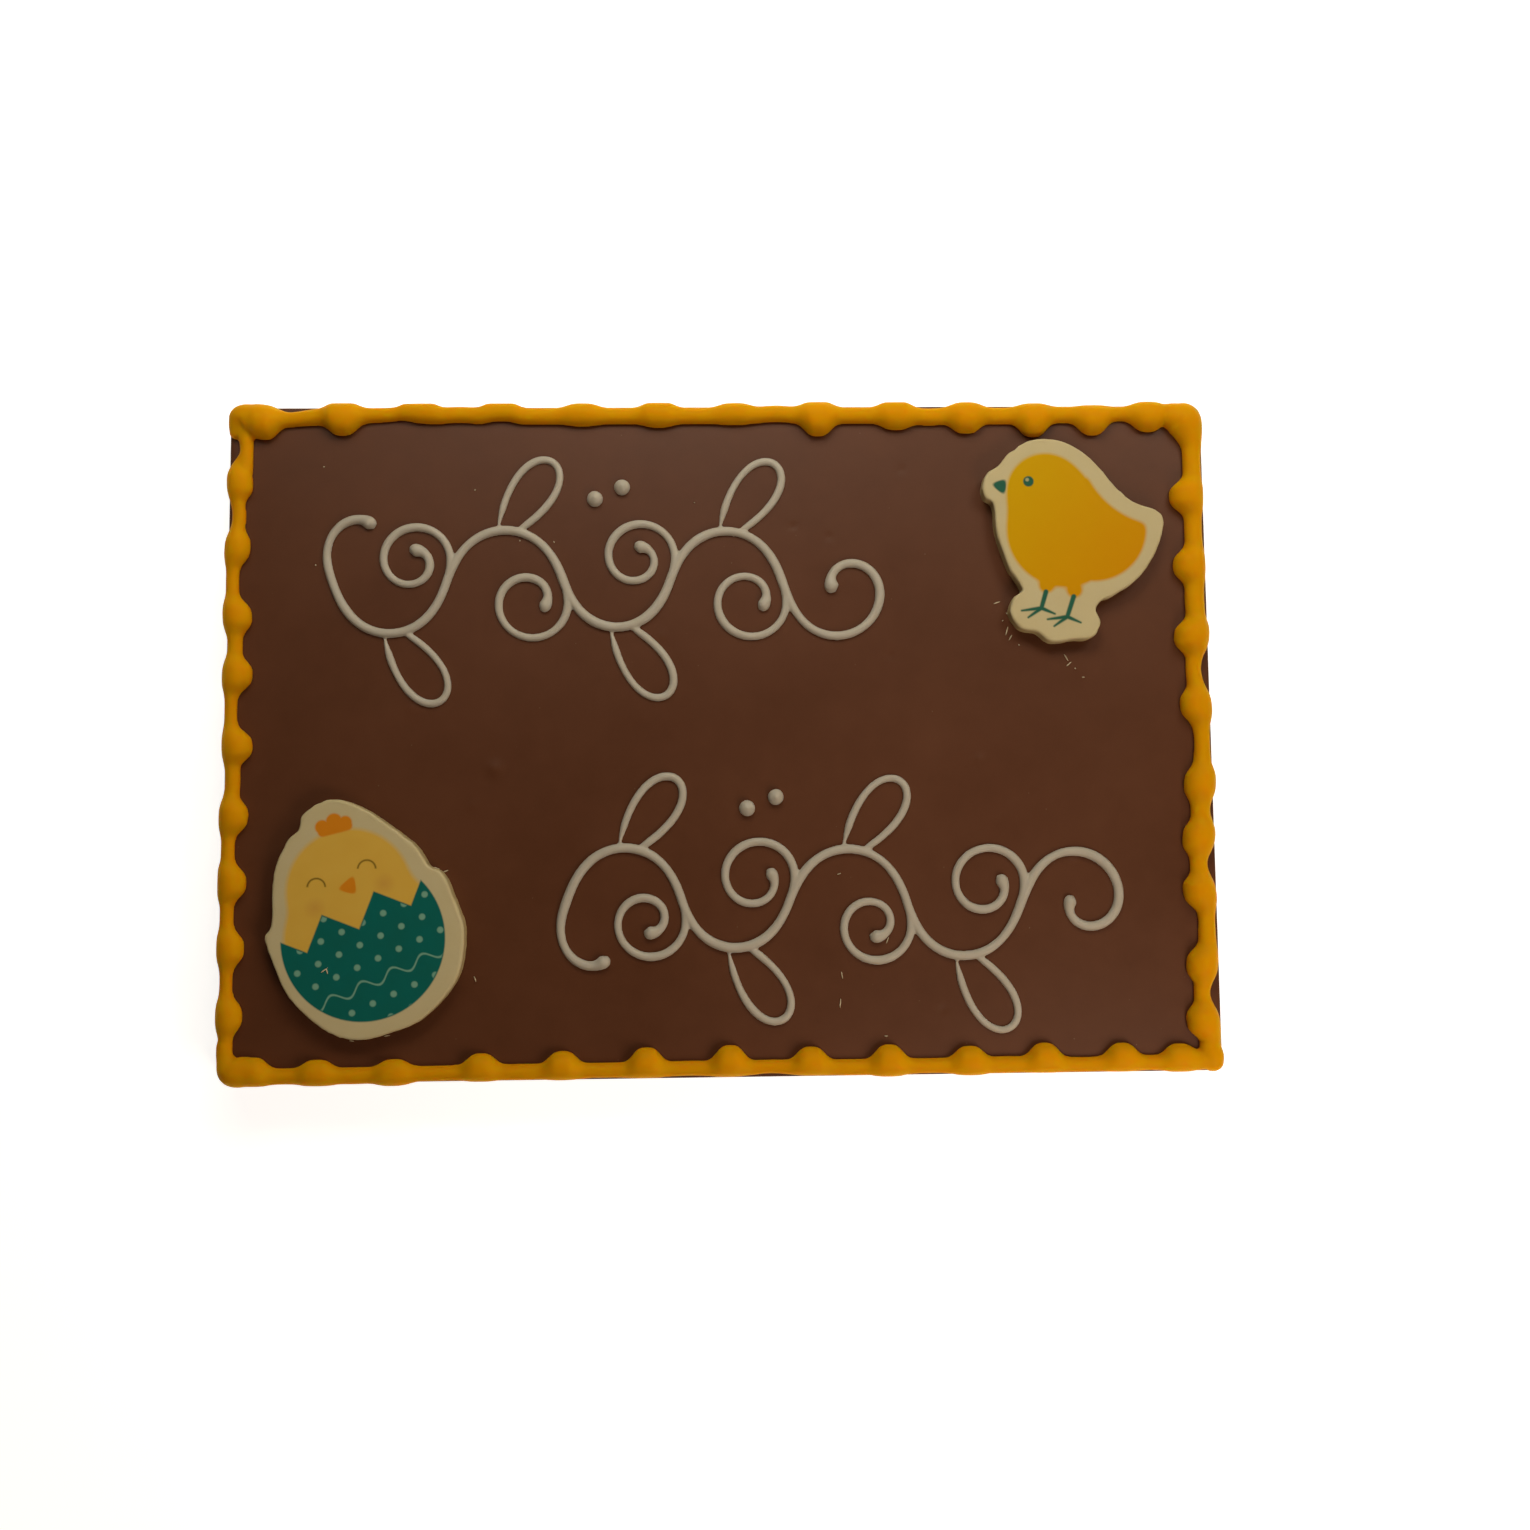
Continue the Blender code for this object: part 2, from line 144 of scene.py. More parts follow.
class Finish:
    def __init__(self, name, **constants):
        self.material = bpy.data.materials.new(name)
        self.material.use_nodes = True
        self.nodes = self.material.node_tree.nodes
        self.links = self.material.node_tree.links
        self.shader = self.nodes["Principled BSDF"]
        for socket, value in constants.items():
            self.shader.inputs[socket.replace("_", " ")].default_value = value
        where = self.add("ShaderNodeTexCoord", {}, {}).outputs["Object"]
        scale = {0: where, "Scale": 1 / MM}
        self.place = self.add("ShaderNodeVectorMath", {"operation": "SCALE"}, scale).outputs[0]
        axes = self.add("ShaderNodeSeparateXYZ", {}, {0: self.place}).outputs
        self.x, self.y, self.z = (Amount(self, axis) for axis in axes)

    def add(self, kind, settings, sockets):
        """Add a node: its settings first, then the values or links of its sockets."""
        node = self.nodes.new(kind)
        for name, value in settings.items():
            setattr(node, name, value)
        for name, value in sockets.items():
            value = value.socket if isinstance(value, Amount) else value
            if isinstance(value, bpy.types.NodeSocket):
                self.links.new(value, node.inputs[name])
            else:
                node.inputs[name].default_value = value
        return node

    def amount(self, kind, settings, sockets, output=0):
        return Amount(self, self.add(kind, settings, sockets).outputs[output])

    def noise(self, size, detail=2.0, roughness=0.5):
        """Cloudy noise from 0 to 1, whose clouds are about this many millimetres across."""
        sockets = {
            "Vector": self.place, "Scale": 1 / size, "Detail": detail, "Roughness": roughness
        }
        return self.amount("ShaderNodeTexNoise", {}, sockets)

    def mix(self, share, first, second):
        """A colour that goes from the first to the second as share goes from 0 to 1."""
        sockets = {0: share}
        for index, colour in ((6, first), (7, second)):
            is_socket = isinstance(colour, bpy.types.NodeSocket)
            sockets[index] = colour if is_socket else (*colour, 1)
        return self.add("ShaderNodeMix", {"data_type": "RGBA"}, sockets).outputs[2]

    def mottled(self, clouds, grain, pale, deep):
        """A colour that drifts from pale to deep with the clouds, and a little with the grain."""
        return self.mix((clouds * 0.9 + grain * 0.3 - 0.1).clamped(), pale, deep)

    def finish(self, colour, roughness, height, relief):
        """Connect the colour, the roughness and a relief in millimetres, and hand it over."""
        bump = {"Height": height, "Distance": relief * MM, "Strength": 1.0}
        normal = self.add("ShaderNodeBump", {}, bump).outputs["Normal"]
        self.links.new(colour, self.shader.inputs["Base Color"])
        self.links.new(roughness.socket, self.shader.inputs["Roughness"])
        self.links.new(normal, self.shader.inputs["Normal"])
        print(f"finish {self.material.name}: {len(self.nodes)} nodes")
        return self.material


# %% [markdown]
# ## From a bmesh to a piece
#
# Each piece is modelled in a bmesh, which is Blender's editable mesh, in millimetres. `add_piece`
# turns it into an object in metres at the origin, shades it, tells the frame which body it rides on
# and hides the plain solids it stands for.

# %% Helpers for pieces
SHARP_ANGLE = math.radians(50)


def new_object(name, bm, material=None):
    """A new object at the origin, which takes over the shape in bm."""
    mesh = bpy.data.meshes.new(name)
    bm.to_mesh(mesh)
    bm.free()
    if material:
        mesh.materials.append(material)
    thing = bpy.data.objects.new(name, mesh)
    bpy.context.scene.collection.objects.link(thing)
    return thing


def add_piece(name, bm, material, nodes=()):
    bmesh.ops.scale(bm, vec=(MM, MM, MM), verts=bm.verts)
    piece = new_object(name, bm, material)
    piece.data.shade_smooth()
    piece.data.set_sharp_from_angle(angle=SHARP_ANGLE)
    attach(piece, "root")
    if nodes:
        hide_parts(*nodes)
    triangles = sum(len(face.vertices) - 2 for face in piece.data.polygons)
    print(f"{name}: {triangles} triangles")


def only_verts(parts):
    return [part for part in parts if isinstance(part, bmesh.types.BMVert)]


def open_edges(parts):
    """The edges among these parts of a bmesh that have a face on one side only."""
    return [part for part in parts if isinstance(part, bmesh.types.BMEdge) and part.is_boundary]


def wander(x, y, size, seed=0.0):
    """Smooth unevenness from -1 to 1 over the plan, with swells about size millimetres wide."""
    return noise.noise(Vector((x / size, y / size, seed)))


def bell(distance, half_width, shape=2.0):
    """1 at no distance, falling to 0 within about two half widths; a higher shape is squarer."""
    return math.exp(-((abs(distance) / half_width) ** shape))


# %% [markdown]
# ## The slab
#
# Chocolate is cast in a mould, face down, so its top is as smooth as the mould, with a few
# pimples where the mould is worn and a few pits where an air bubble sat against it. A fine grid
# carries those as real shape. Its corners are rounded by squeezing each corner square of the grid
# into a quarter disc, and then its rim is extruded down step by step: a small rounding, the
# leaning wall, and the underside.

# %% Places of the pimples and pits
# Pimples as (x, y, radius, height), pits as (x, y).
PIMPLES = [
    (-45.6, -6.1, 1.3, 0.30), (-49.9, -13.4, 0.7, 0.16), (-25.4, -22.4, 3.6, 0.16),
    (28.3, -13.9, 0.8, 0.22), (51.8, -5.1, 0.8, 0.24), (70.1, -24.2, 1.1, 0.20),
    (57.8, -14.4, 0.8, 0.14), (51.9, 0.4, 0.6, 0.12), (3.4, 8.5, 0.6, 0.10),
    (60.5, -21.0, 0.7, 0.12), (-12.0, 20.5, 0.7, 0.10), (-62.0, 6.0, 0.9, 0.10),
]
PITS = [(37.2, 54.5), (34.2, 16.1), (43.5, -55.1), (14.7, 42.9), (22.1, 40.6)]
PIT_RADIUS = 0.45
PIT_DEPTH = 0.22

# %% Height of the cast surface at a place
FACE_SWELL = 0.035
FACE_RIPPLE = 0.008


def face_height(x, y):
    height = FACE_SWELL * wander(x, y, size=16.0)
    height += FACE_RIPPLE * wander(x, y, size=3.0, seed=7.0)
    for px, py, radius, rise in PIMPLES:
        height += rise * bell(math.hypot(x - px, y - py), radius)
    for px, py in PITS:
        height -= PIT_DEPTH * bell(math.hypot(x - px, y - py), PIT_RADIUS)
    return height


# %% The slab's sizes
SLAB_DRAFT = 0.7
RIM_RADIUS = 0.5
RIM_TURNS = (30, 60, 90)
FOOT_RADIUS = 0.25
FOOT_ROUNDING = 0.3
UNDERSIDE_INSET = 1.5
FACE_CORNER = 2.0
FACE_CELL = 0.66
SLAB_WALL_STEPS = 7
face_length = SLAB_LENGTH - 2 * (SLAB_DRAFT + RIM_RADIUS)
face_width = SLAB_WIDTH - 2 * (SLAB_DRAFT + RIM_RADIUS)
print(f"top face {face_length:.1f} x {face_width:.1f} mm")


# %% Cast the slab


def round_corner(x, y):
    """Squeeze the square at each corner of the face into a quarter disc."""
    dx = abs(x) - (face_length / 2 - FACE_CORNER)
    dy = abs(y) - (face_width / 2 - FACE_CORNER)
    if dx <= 0 or dy <= 0:
        return x, y
    squeeze = max(dx, dy) / math.hypot(dx, dy)
    x = math.copysign(face_length / 2 - FACE_CORNER + dx * squeeze, x)
    y = math.copysign(face_width / 2 - FACE_CORNER + dy * squeeze, y)
    return x, y


def wall_profile():
    """Steps from the face's edge down to the foot, as (how far outwards, height)."""
    steps = []
    for turn in RIM_TURNS:
        angle = math.radians(turn)
        out = RIM_RADIUS * math.sin(angle)
        steps.append((out, SLAB_HEIGHT - RIM_RADIUS * (1 - math.cos(angle))))
    top = SLAB_HEIGHT - RIM_RADIUS
    for step in range(1, SLAB_WALL_STEPS + 1):
        share = step / SLAB_WALL_STEPS
        height = top + (FOOT_RADIUS - top) * share
        steps.append((RIM_RADIUS + SLAB_DRAFT * share, height))
    out = RIM_RADIUS + SLAB_DRAFT
    steps.append((out - FOOT_ROUNDING * FOOT_RADIUS, FOOT_ROUNDING * FOOT_RADIUS))
    steps.append((out - FOOT_RADIUS, 0.0))
    return steps


def cast_slab():
    bm = bmesh.new()
    columns = round(face_length / FACE_CELL)
    rows = round(face_width / FACE_CELL)
    bmesh.ops.create_grid(bm, x_segments=columns, y_segments=rows, size=0.5)
    for vert in bm.verts:
        x, y = round_corner(vert.co.x * face_length, vert.co.y * face_width)
        vert.co = Vector((x, y, SLAB_HEIGHT + face_height(x, y)))
    rim = open_edges(bm.edges)
    out_before = 0.0
    for out, height in wall_profile():
        rim = open_edges(bmesh.ops.extrude_edge_only(bm, edges=rim)["geom"])
        ring = list({vert for edge in rim for vert in edge.verts})
        grow_x = (face_length / 2 + out) / (face_length / 2 + out_before)
        grow_y = (face_width / 2 + out) / (face_width / 2 + out_before)
        bmesh.ops.scale(bm, vec=(grow_x, grow_y, 1), verts=ring)
        for vert in ring:
            vert.co.z = height
        out_before = out
    underside = bmesh.ops.holes_fill(bm, edges=rim)["faces"]
    bmesh.ops.inset_region(bm, faces=underside, thickness=UNDERSIDE_INSET, use_even_offset=True)
    bmesh.ops.recalc_face_normals(bm, faces=bm.faces)
    return bm


# %% [markdown]
# Milk chocolate is a warm brown with a soft sheen. Its colour drifts a little from patch to patch
# where the cocoa butter set at different speeds, and a close look finds pinpoints of pale bloom.
# The sheen changes with the same patches, so the roughness follows slower noise than the grain.

# %% Milk chocolate
CHOCOLATE_LIGHT = (0.108, 0.0360, 0.0133)
CHOCOLATE_DARK = (0.077, 0.0246, 0.0086)
BLOOM = (0.30, 0.20, 0.13)
BLOOM_SPACING = 2.6
BLOOM_SHARPNESS = 16
BLOOM_AREA_START = 0.62
BLOOM_AREA_SHARPNESS = 14
BLOOM_STRENGTH = 0.55


def milk_chocolate():
    finish = Finish("milk_chocolate", Specular_IOR_Level=0.28)
    patches = finish.noise(size=26.0)
    clouds = finish.noise(size=5.0, detail=3.0, roughness=0.6)
    grain = finish.noise(size=0.35, roughness=0.6)
    share = (patches * 0.9 + clouds * 0.5 + grain * 0.3 - 0.35).clamped()
    colour = finish.mix(share, CHOCOLATE_DARK, CHOCOLATE_LIGHT)
    cells = {"Vector": finish.place, "Scale": 1 / BLOOM_SPACING, "Randomness": 1.0}
    speck = finish.amount("ShaderNodeTexVoronoi", {}, cells)
    area = finish.noise(size=4.0, detail=0.0) - BLOOM_AREA_START
    area = (area * BLOOM_AREA_SHARPNESS).clamped()
    bloom = (1.0 - speck * BLOOM_SHARPNESS).clamped() * area * BLOOM_STRENGTH
    colour = finish.mix(bloom, colour, BLOOM)
    roughness = 0.36 + 0.10 * patches + 0.08 * clouds
    return finish.finish(colour, roughness, clouds * 0.5 + grain * 0.2, relief=0.035)


add_piece("chocolate_slab", cast_slab(), milk_chocolate(), ["slab"])

# %% [markdown]
# ## Lines of icing
#
# A line of icing leaves the bag as a round string, settles onto the slab and keeps a flat foot.
# Its section is a round whose middle sits a little above that foot. A curve with a bevel could
# sweep it, but here a flat grid is rolled into a tube: one side of the grid runs along the line
# and the other goes once round the section, so every place on the line can have its own width
# and height. The two long sides are welded and the ends are closed.

# %% Roll a grid into a closed line of icing
ICING_LIFT = 0.15
ICING_FOOT = SLAB_HEIGHT - 0.14
FOOT_ANGLE = -math.asin(ICING_LIFT)
SECTION_SWEEP = math.pi - 2 * FOOT_ANGLE
WELD = 1e-4


def roll_line(bm, stations, facets, across=None):
    """Add a line of icing to bm; a station is its place (x, y), its half width and its height.

    The section stands across the line's own way, unless across gives one way for all of it.
    """
    last = len(stations) - 1
    grid = bmesh.ops.create_grid(bm, x_segments=last, y_segments=facets + 1, size=0.5)["verts"]
    for vert in grid:
        index = round((vert.co.x + 0.5) * last)
        facet = round((vert.co.y + 0.5) * (facets + 1)) % (facets + 1)
        place, half_width, height = stations[index]
        ahead = stations[min(index + 1, last)][0] - stations[max(index - 1, 0)][0]
        sideways = across or Vector((-ahead.y, ahead.x)).normalized()
        angle = FOOT_ANGLE + SECTION_SWEEP * facet / facets
        point = place + sideways * half_width * math.cos(angle)
        rise = height * (math.sin(angle) + ICING_LIFT) / (1 + ICING_LIFT)
        vert.co = Vector((point.x, point.y, ICING_FOOT + rise))
    bmesh.ops.remove_doubles(bm, verts=grid, dist=WELD)
    bmesh.ops.holes_fill(bm, edges=open_edges(bm.edges))


# %% [markdown]
# Fresh icing flows together where lines cross. Tubes that merely pass through each other would
# show hard seams, so the tubes of a piece are fused: a Remesh modifier lays one skin over all of
# them, and a few rounds of smoothing let the skin sag into soft fillets, as surface tension does.

# %% Fuse lines that flowed together
SMOOTHING_ROUNDS = 4


def fuse(bm, voxel):
    """One smooth skin over all the closed tubes in bm; a smaller voxel makes it finer."""
    bmesh.ops.recalc_face_normals(bm, faces=bm.faces)
    tubes = new_object("tubes", bm)
    remesh = tubes.modifiers.new("fuse", "REMESH")
    remesh.mode = "VOXEL"
    remesh.voxel_size = voxel
    skin = bmesh.new()
    skin.from_mesh(tubes.evaluated_get(bpy.context.evaluated_depsgraph_get()).to_mesh())
    bpy.data.objects.remove(tubes)
    for _ in range(SMOOTHING_ROUNDS):
        bmesh.ops.smooth_vert(
            skin, verts=skin.verts, factor=0.5, use_axis_x=True, use_axis_y=True, use_axis_z=True
        )
    return skin


# %% [markdown]
# ## The beaded border
#
# The border is piped in one go along each side. The hand pauses at even steps, and every pause
# swells the line into a bead that leans towards the middle of the slab. Between the beads the
# line is thin, and here and there it strays inwards so that the chocolate's rim shows outside it.
# Each run is a list of beads and strays; the corners are short lines of their own, whose few
# points are joined by a smooth curve.

# %% The runs of the border
BEAD_REACH = 3.1
BEAD_SHAPE = 3.3
BEAD_OUTWARD_REACH = 3.6
RUN_STATION = 0.5
RUN_MARGIN = 0.05
BORDER_FACETS = 18
BORDER_VOXEL = 0.3

# Beads as (place along the side, how far the bead swells inwards, how far outwards).
BEADS_TOP = [
    (-92.4, 2.9, 0.9), (-76.5, 2.2, 1.2), (-61, -0.2, 1.5), (-44.5, -0.7, 1.4), (-28, 0.4, 0.9),
    (-12.5, 0.7, 1.2), (3, 0.2, 0.9), (20, 2.6, 1.1), (36, 1.3, 1.2), (50.5, 2.1, 0.9),
    (64.3, 2.9, 0.6), (76.6, 2.6, 0.2), (88, 1.9, 0.9),
]
BEADS_BOTTOM = [
    (-92.6, 2.2, 0.4), (-80, 1.6, 0.4), (-65, 1.4, 0.7), (-48, 2.2, 0.3), (-32, 2.4, 0.3),
    (-15.5, 2.9, 0.1), (1, 3.1, 0.1), (17, 2.6, 0.1), (32.5, 2.8, 0.5), (48.5, 2.3, 0.5),
    (63.5, 2.7, 0.2), (79, 2.5, 0.2), (90.5, 2.2, 0.4), (96.6, 0.9, 0.0),
]
BEADS_LEFT = [
    (-54.5, 1.8, 0.6), (-41.3, 2.0, 0.6), (-28.4, 2.2, 0.8), (-15.3, 2.3, 0.6), (-1.2, 2.9, 0.3),
    (12.9, 2.6, 0.5), (24.9, 2.3, 0.6), (38.7, 1.8, 0.5), (52, 2.1, 0.3),
]
BEADS_RIGHT = [
    (-58.0, 2.8, 0.1), (-46.6, 2.5, 0.1), (-32.3, 2.6, 0.3), (-21.4, 2.2, 0.6), (-10.4, 1.7, 0.9),
    (5.4, 2.1, 0.6), (19.5, 2.8, 0.6), (34.2, 2.6, 0.2), (48.5, 3.0, 0.2),
]

# Strays as (place along the side, how far the thin line's outer edge and its inner edge stray
# inwards, over how long a reach).
STRAYS_TOP = [
    (-87.5, 0.8, 0.4, 4), (-69, -0.1, -0.5, 4), (-64.5, -0.2, -0.7, 2.5), (-53, -0.3, -0.4, 4),
    (11.5, -0.4, -0.4, 4), (43, 0.3, 0.4, 4), (57.4, 0.2, 0.2, 4), (82.3, 0, -0.4, 3),
]
STRAYS_BOTTOM = [
    (-82, -0.4, -0.2, 24), (-72.5, -0.2, 0, 4), (-40, -0.2, 0, 4), (-7.2, 0.2, 0.2, 4),
    (9, 0.4, 0.2, 4), (24.8, -0.2, 0, 4), (56, -0.2, 0.2, 4), (71.2, -0.2, -0.2, 4),
]
STRAYS_LEFT = [
    (-48, 0, -0.2, 4), (-35, -0.2, -0.2, 4), (-22, -0.2, -0.2, 4), (-8, 0.4, 0.7, 4),
    (5.9, 0, -0.2, 4), (19, 0.4, 0.7, 4), (32, -0.2, -0.3, 4), (45.2, 0.9, 0.9, 4),
    (59.3, 2.3, 1.5, 3.2),
]
STRAYS_RIGHT = [
    (-52.4, 1.7, 1.3, 3.4), (-38.5, 0.2, -0.1, 4), (-26.5, 1.4, 1.2, 4), (-15.5, 0.5, 0.7, 4),
    (-2.2, 0, -0.5, 4), (12.8, 1.3, 0.8, 4.5), (27.2, 0.2, 0.5, 4.5), (41.5, 0.2, 0.1, 4),
]

# Runs as (start and end along the side, the way inwards, how far the thin line's outer edge and
# its inner edge lie from the side, beads, strays).
BORDER_RUNS = [
    (-97.0, 91.6, (0, -1), (1.0, 4.55), BEADS_TOP, STRAYS_TOP),
    (-97.0, 97.2, (0, 1), (1.0, 4.05), BEADS_BOTTOM, STRAYS_BOTTOM),
    (-64.0, 62.0, (1, 0), (0.65, 3.5), BEADS_LEFT, STRAYS_LEFT),
    (-64.0, 58.0, (-1, 0), (1.2, 5.0), BEADS_RIGHT, STRAYS_RIGHT),
]

# %% Work out a run's stations
ICING_ROUNDNESS = 1.15
ICING_SLUMP = 0.02


def icing_height(half_width):
    """A narrow line stands as high as it is round; a wide bead slumps under its own weight."""
    return ICING_ROUNDNESS * half_width * (1.0 - ICING_SLUMP * half_width)


def run_stations(start, end, inward, edges, beads, strays):
    """Stations along a straight run, none of which swells past the plain model's box."""
    inward = Vector(inward)
    along = Vector((abs(inward.y), abs(inward.x)))
    side = (SLAB_LENGTH if inward.x else SLAB_WIDTH) / 2
    box_side = (cad_high.x if inward.x else cad_high.y) / MM
    steps = round((end - start) / RUN_STATION)
    stations = []
    for step in range(steps + 1):
        place = start + (end - start) * step / steps
        outer, inner = edges
        for bead, inwards, outwards in beads:
            inner += inwards * bell(place - bead, BEAD_REACH, BEAD_SHAPE)
            outer -= outwards * bell(place - bead, BEAD_OUTWARD_REACH, BEAD_SHAPE)
        for stray, outer_shift, inner_shift, reach in strays:
            share = bell(place - stray, reach)
            outer += outer_shift * share
            inner += inner_shift * share
        outer = max(outer, side - box_side + RUN_MARGIN)
        half_width = (inner - outer) / 2
        centre = along * place - inward * (side - (inner + outer) / 2)
        stations.append((centre, half_width, icing_height(half_width)))
    return stations


# %% [markdown]
# A corner is given by a few places with a half width each. A Catmull-Rom curve passes through all
# of them, so a handful of numbers is enough for the whole sweep of the bag round a corner.

# %% The corners
# Places as (x, y, half width).
CORNERS = {
    "top left": [(-97.9, 62.4, 1.5), (-97.4, 64.0, 2.2), (-96.4, 65.2, 3.0), (-93.6, 64.9, 3.2)],
    "neck below top left": [
        (-97.2, 64.6, 2.0), (-96.0, 61.6, 1.6), (-95.8, 59.0, 1.4), (-95.9, 56.0, 1.5),
        (-96.2, 53.6, 1.7),
    ],
    "top right": [
        (91.3, 65.8, 2.3), (93.4, 65.2, 3.0), (95.3, 64.3, 3.7), (96.3, 62.0, 3.1),
        (96.9, 59.2, 2.2), (96.9, 56.5, 1.9),
    ],
    "bottom left": [
        (-98.1, -60.0, 1.6), (-97.9, -62.6, 1.8), (-96.3, -65.1, 3.0), (-92.7, -65.2, 2.8),
    ],
    "bottom right": [
        (96.7, -59.0, 2.0), (96.6, -62.0, 2.1), (97.0, -64.8, 2.4), (97.2, -66.0, 2.2),
    ],
}
CORNER_STEPS = 8
TIP_TURNS = (30, 55, 75)
TIP_ROUNDING = 0.9


def smooth_through(points, steps, closed=False):
    """Points on the smooth curve through the given ones, each with as many numbers as they have."""
    count = len(points)
    spans = count if closed else count - 1
    curve = []
    for index in range(spans):
        near = [index + k if closed else min(max(index + k, 0), count - 1) for k in (-1, 0, 1, 2)]
        a, b, c, d = (Vector(points[k % count]) for k in near)
        for step in range(steps):
            t = step / steps
            square = (2 * a - 5 * b + 4 * c - d) * t**2
            cube = (3 * b - a - 3 * c + d) * t**3
            curve.append((2 * b + (c - a) * t + square + cube) / 2)
    return curve if closed else curve + [Vector(points[-1])]


def corner_stations(points):
    curve = smooth_through(points, CORNER_STEPS)
    return [(point.xy, point.z, icing_height(point.z)) for point in curve]


def close_end(stations):
    """Let the end of a line be a round tip instead of a flat cut."""
    tip = []
    (last, half_width, height), before = stations[-1], stations[-2][0]
    ahead = (last - before).normalized()
    for turn in TIP_TURNS:
        angle = math.radians(turn)
        reach = half_width * TIP_ROUNDING * math.sin(angle)
        tip.append((last + ahead * reach, half_width * math.cos(angle), height * math.cos(angle)))
    return stations + tip


def pipe_border():
    bm = bmesh.new()
    for run in BORDER_RUNS:
        roll_line(bm, run_stations(*run), BORDER_FACETS, across=Vector(run[2]))
    for corner in CORNERS.values():
        stations = close_end(corner_stations(corner))
        roll_line(bm, close_end(stations[::-1]), BORDER_FACETS)
    return fuse(bm, BORDER_VOXEL)


# %% [markdown]
# Yellow icing is coloured cocoa butter and sugar: opaque, a little waxy, with light that goes in a
# short way and comes out deeper in colour. It is slightly more orange where it is thick. Near its
# foot it is painted more orange still, as painted reflected light from the brown chocolate.

# %% Yellow icing
THIN_YELLOW = (0.640, 0.310, 0.0010)
THICK_YELLOW = (0.680, 0.306, 0.0010)
# Painted reflected light: the deeper orange near the foot, and the height over which it fades out.
PAINTED_BOUNCE_YELLOW = (0.62, 0.230, 0.0008)
PAINTED_BOUNCE_HEIGHT = 1.6
THIN_HEIGHT = 1.7
THICK_HEIGHT = 3.3


def yellow_icing():
    finish = Finish(
        "yellow_icing",
        Specular_IOR_Level=0.02,
        Subsurface_Weight=0.6,
        Subsurface_Radius=(1.0, 0.32, 0.05),
        Subsurface_Scale=0.0025,
    )
    clouds = finish.noise(size=4.0)
    grain = finish.noise(size=0.5)
    height = finish.z - SLAB_HEIGHT
    thick = ((height - THIN_HEIGHT) / (THICK_HEIGHT - THIN_HEIGHT)).clamped()
    share = (thick + clouds * 0.3 - 0.15).clamped()
    colour = finish.mix(share, THIN_YELLOW, THICK_YELLOW)
    # Painted reflected light: towards the foot the colour goes to the deeper orange.
    colour = finish.mix((1.0 - height / PAINTED_BOUNCE_HEIGHT).clamped(), colour, PAINTED_BOUNCE_YELLOW)
    roughness = 0.40 + 0.12 * clouds
    return finish.finish(colour, roughness, clouds + grain * 0.15, relief=0.05)


BORDER_NODES = ["border_top", "border_bottom", "border_left", "border_right"]
add_piece("piped_border", pipe_border(), yellow_icing(), BORDER_NODES)

# %% [markdown]
# ## The piped vines
#
# The cream lines are drawn by bending: between two bends the curvature changes evenly, which is
# how a hand moves, so the line never has a corner. A vine is a stem that swings from side to
# side. At every crossing a curl leaves it, and at the top of every swing a leaf, drawn as a loop.
# The route repeats the one in the frame, so each fine line lies on its plain solid.

# %% The route of a vine
UPPER_VINE_START = (-78.0, 31.0)
UPPER_VINE_SPANS = (25.0, 26.0, 24.0, 25.0)
LOWER_VINE_START = (-31.0, -32.0)
LOWER_VINE_SPANS = (25.0, 24.0, 26.0, 25.0)
VINE_SWING = math.radians(70)
STEM_RADIUS = 0.95
CURL_RADIUS = 0.85
LEAF_RADIUS = 0.8
LEAF_LENGTH = 17.0
LEAF_WIDTH = 7.4
LEAF_FOOT_SPACING = 3.2
LEAF_LEAN = math.radians(56)
# A loop reaches this share of its pull; its half width is these shares of its flare and its foot.
PULL_SHARE = 3 / 4
FLARE_SHARE = 0.29
FOOT_SHARE = 0.24
PATH_STEP = 0.25

# Bends as (length of line since the last bend, curvature here in 1/mm). In a swing both are
# shares: of the whole swing's length, and of the curvature it would have as an arc.
SWING_BENDS = [(0.0, 0.35), (0.3, 1.3), (0.4, 1.3), (0.3, 0.35)]
WIDE_CURL = [(0, 0.03), (6, 1 / 7.0), (15, 1 / 6.6), (14, 1 / 4.6), (11, 1 / 2.6)]
TIGHT_CURL = [(0, 0.03), (6, 1 / 7.0), (15, 1 / 7.0), (15, 1 / 5.0), (9, 1 / 3.0)]
VINE_TIP = [(0, 0.0), (12, 1 / 9.0), (15, 1 / 9.0), (14, 1 / 5.0), (8, 1 / 2.8)]
VINE_ROOT = [(0, 0.0), (6, -1 / 10.0), (9, -1 / 6.0), (6, -1 / 3.0)]


def draw_path(start, heading, bends, side=1):
    """Follow a line whose curvature changes evenly from bend to bend; side 1 curves left."""
    points = [Vector(start)]
    curvature = bends[0][1] * side
    for length, next_curvature in bends[1:]:
        steps = round(length / PATH_STEP)
        change = (next_curvature * side - curvature) / steps
        for _ in range(steps):
            heading += (curvature + change / 2) * PATH_STEP
            curvature += change
            points.append(points[-1] + PATH_STEP * Vector((math.cos(heading), math.sin(heading))))
    return points, heading


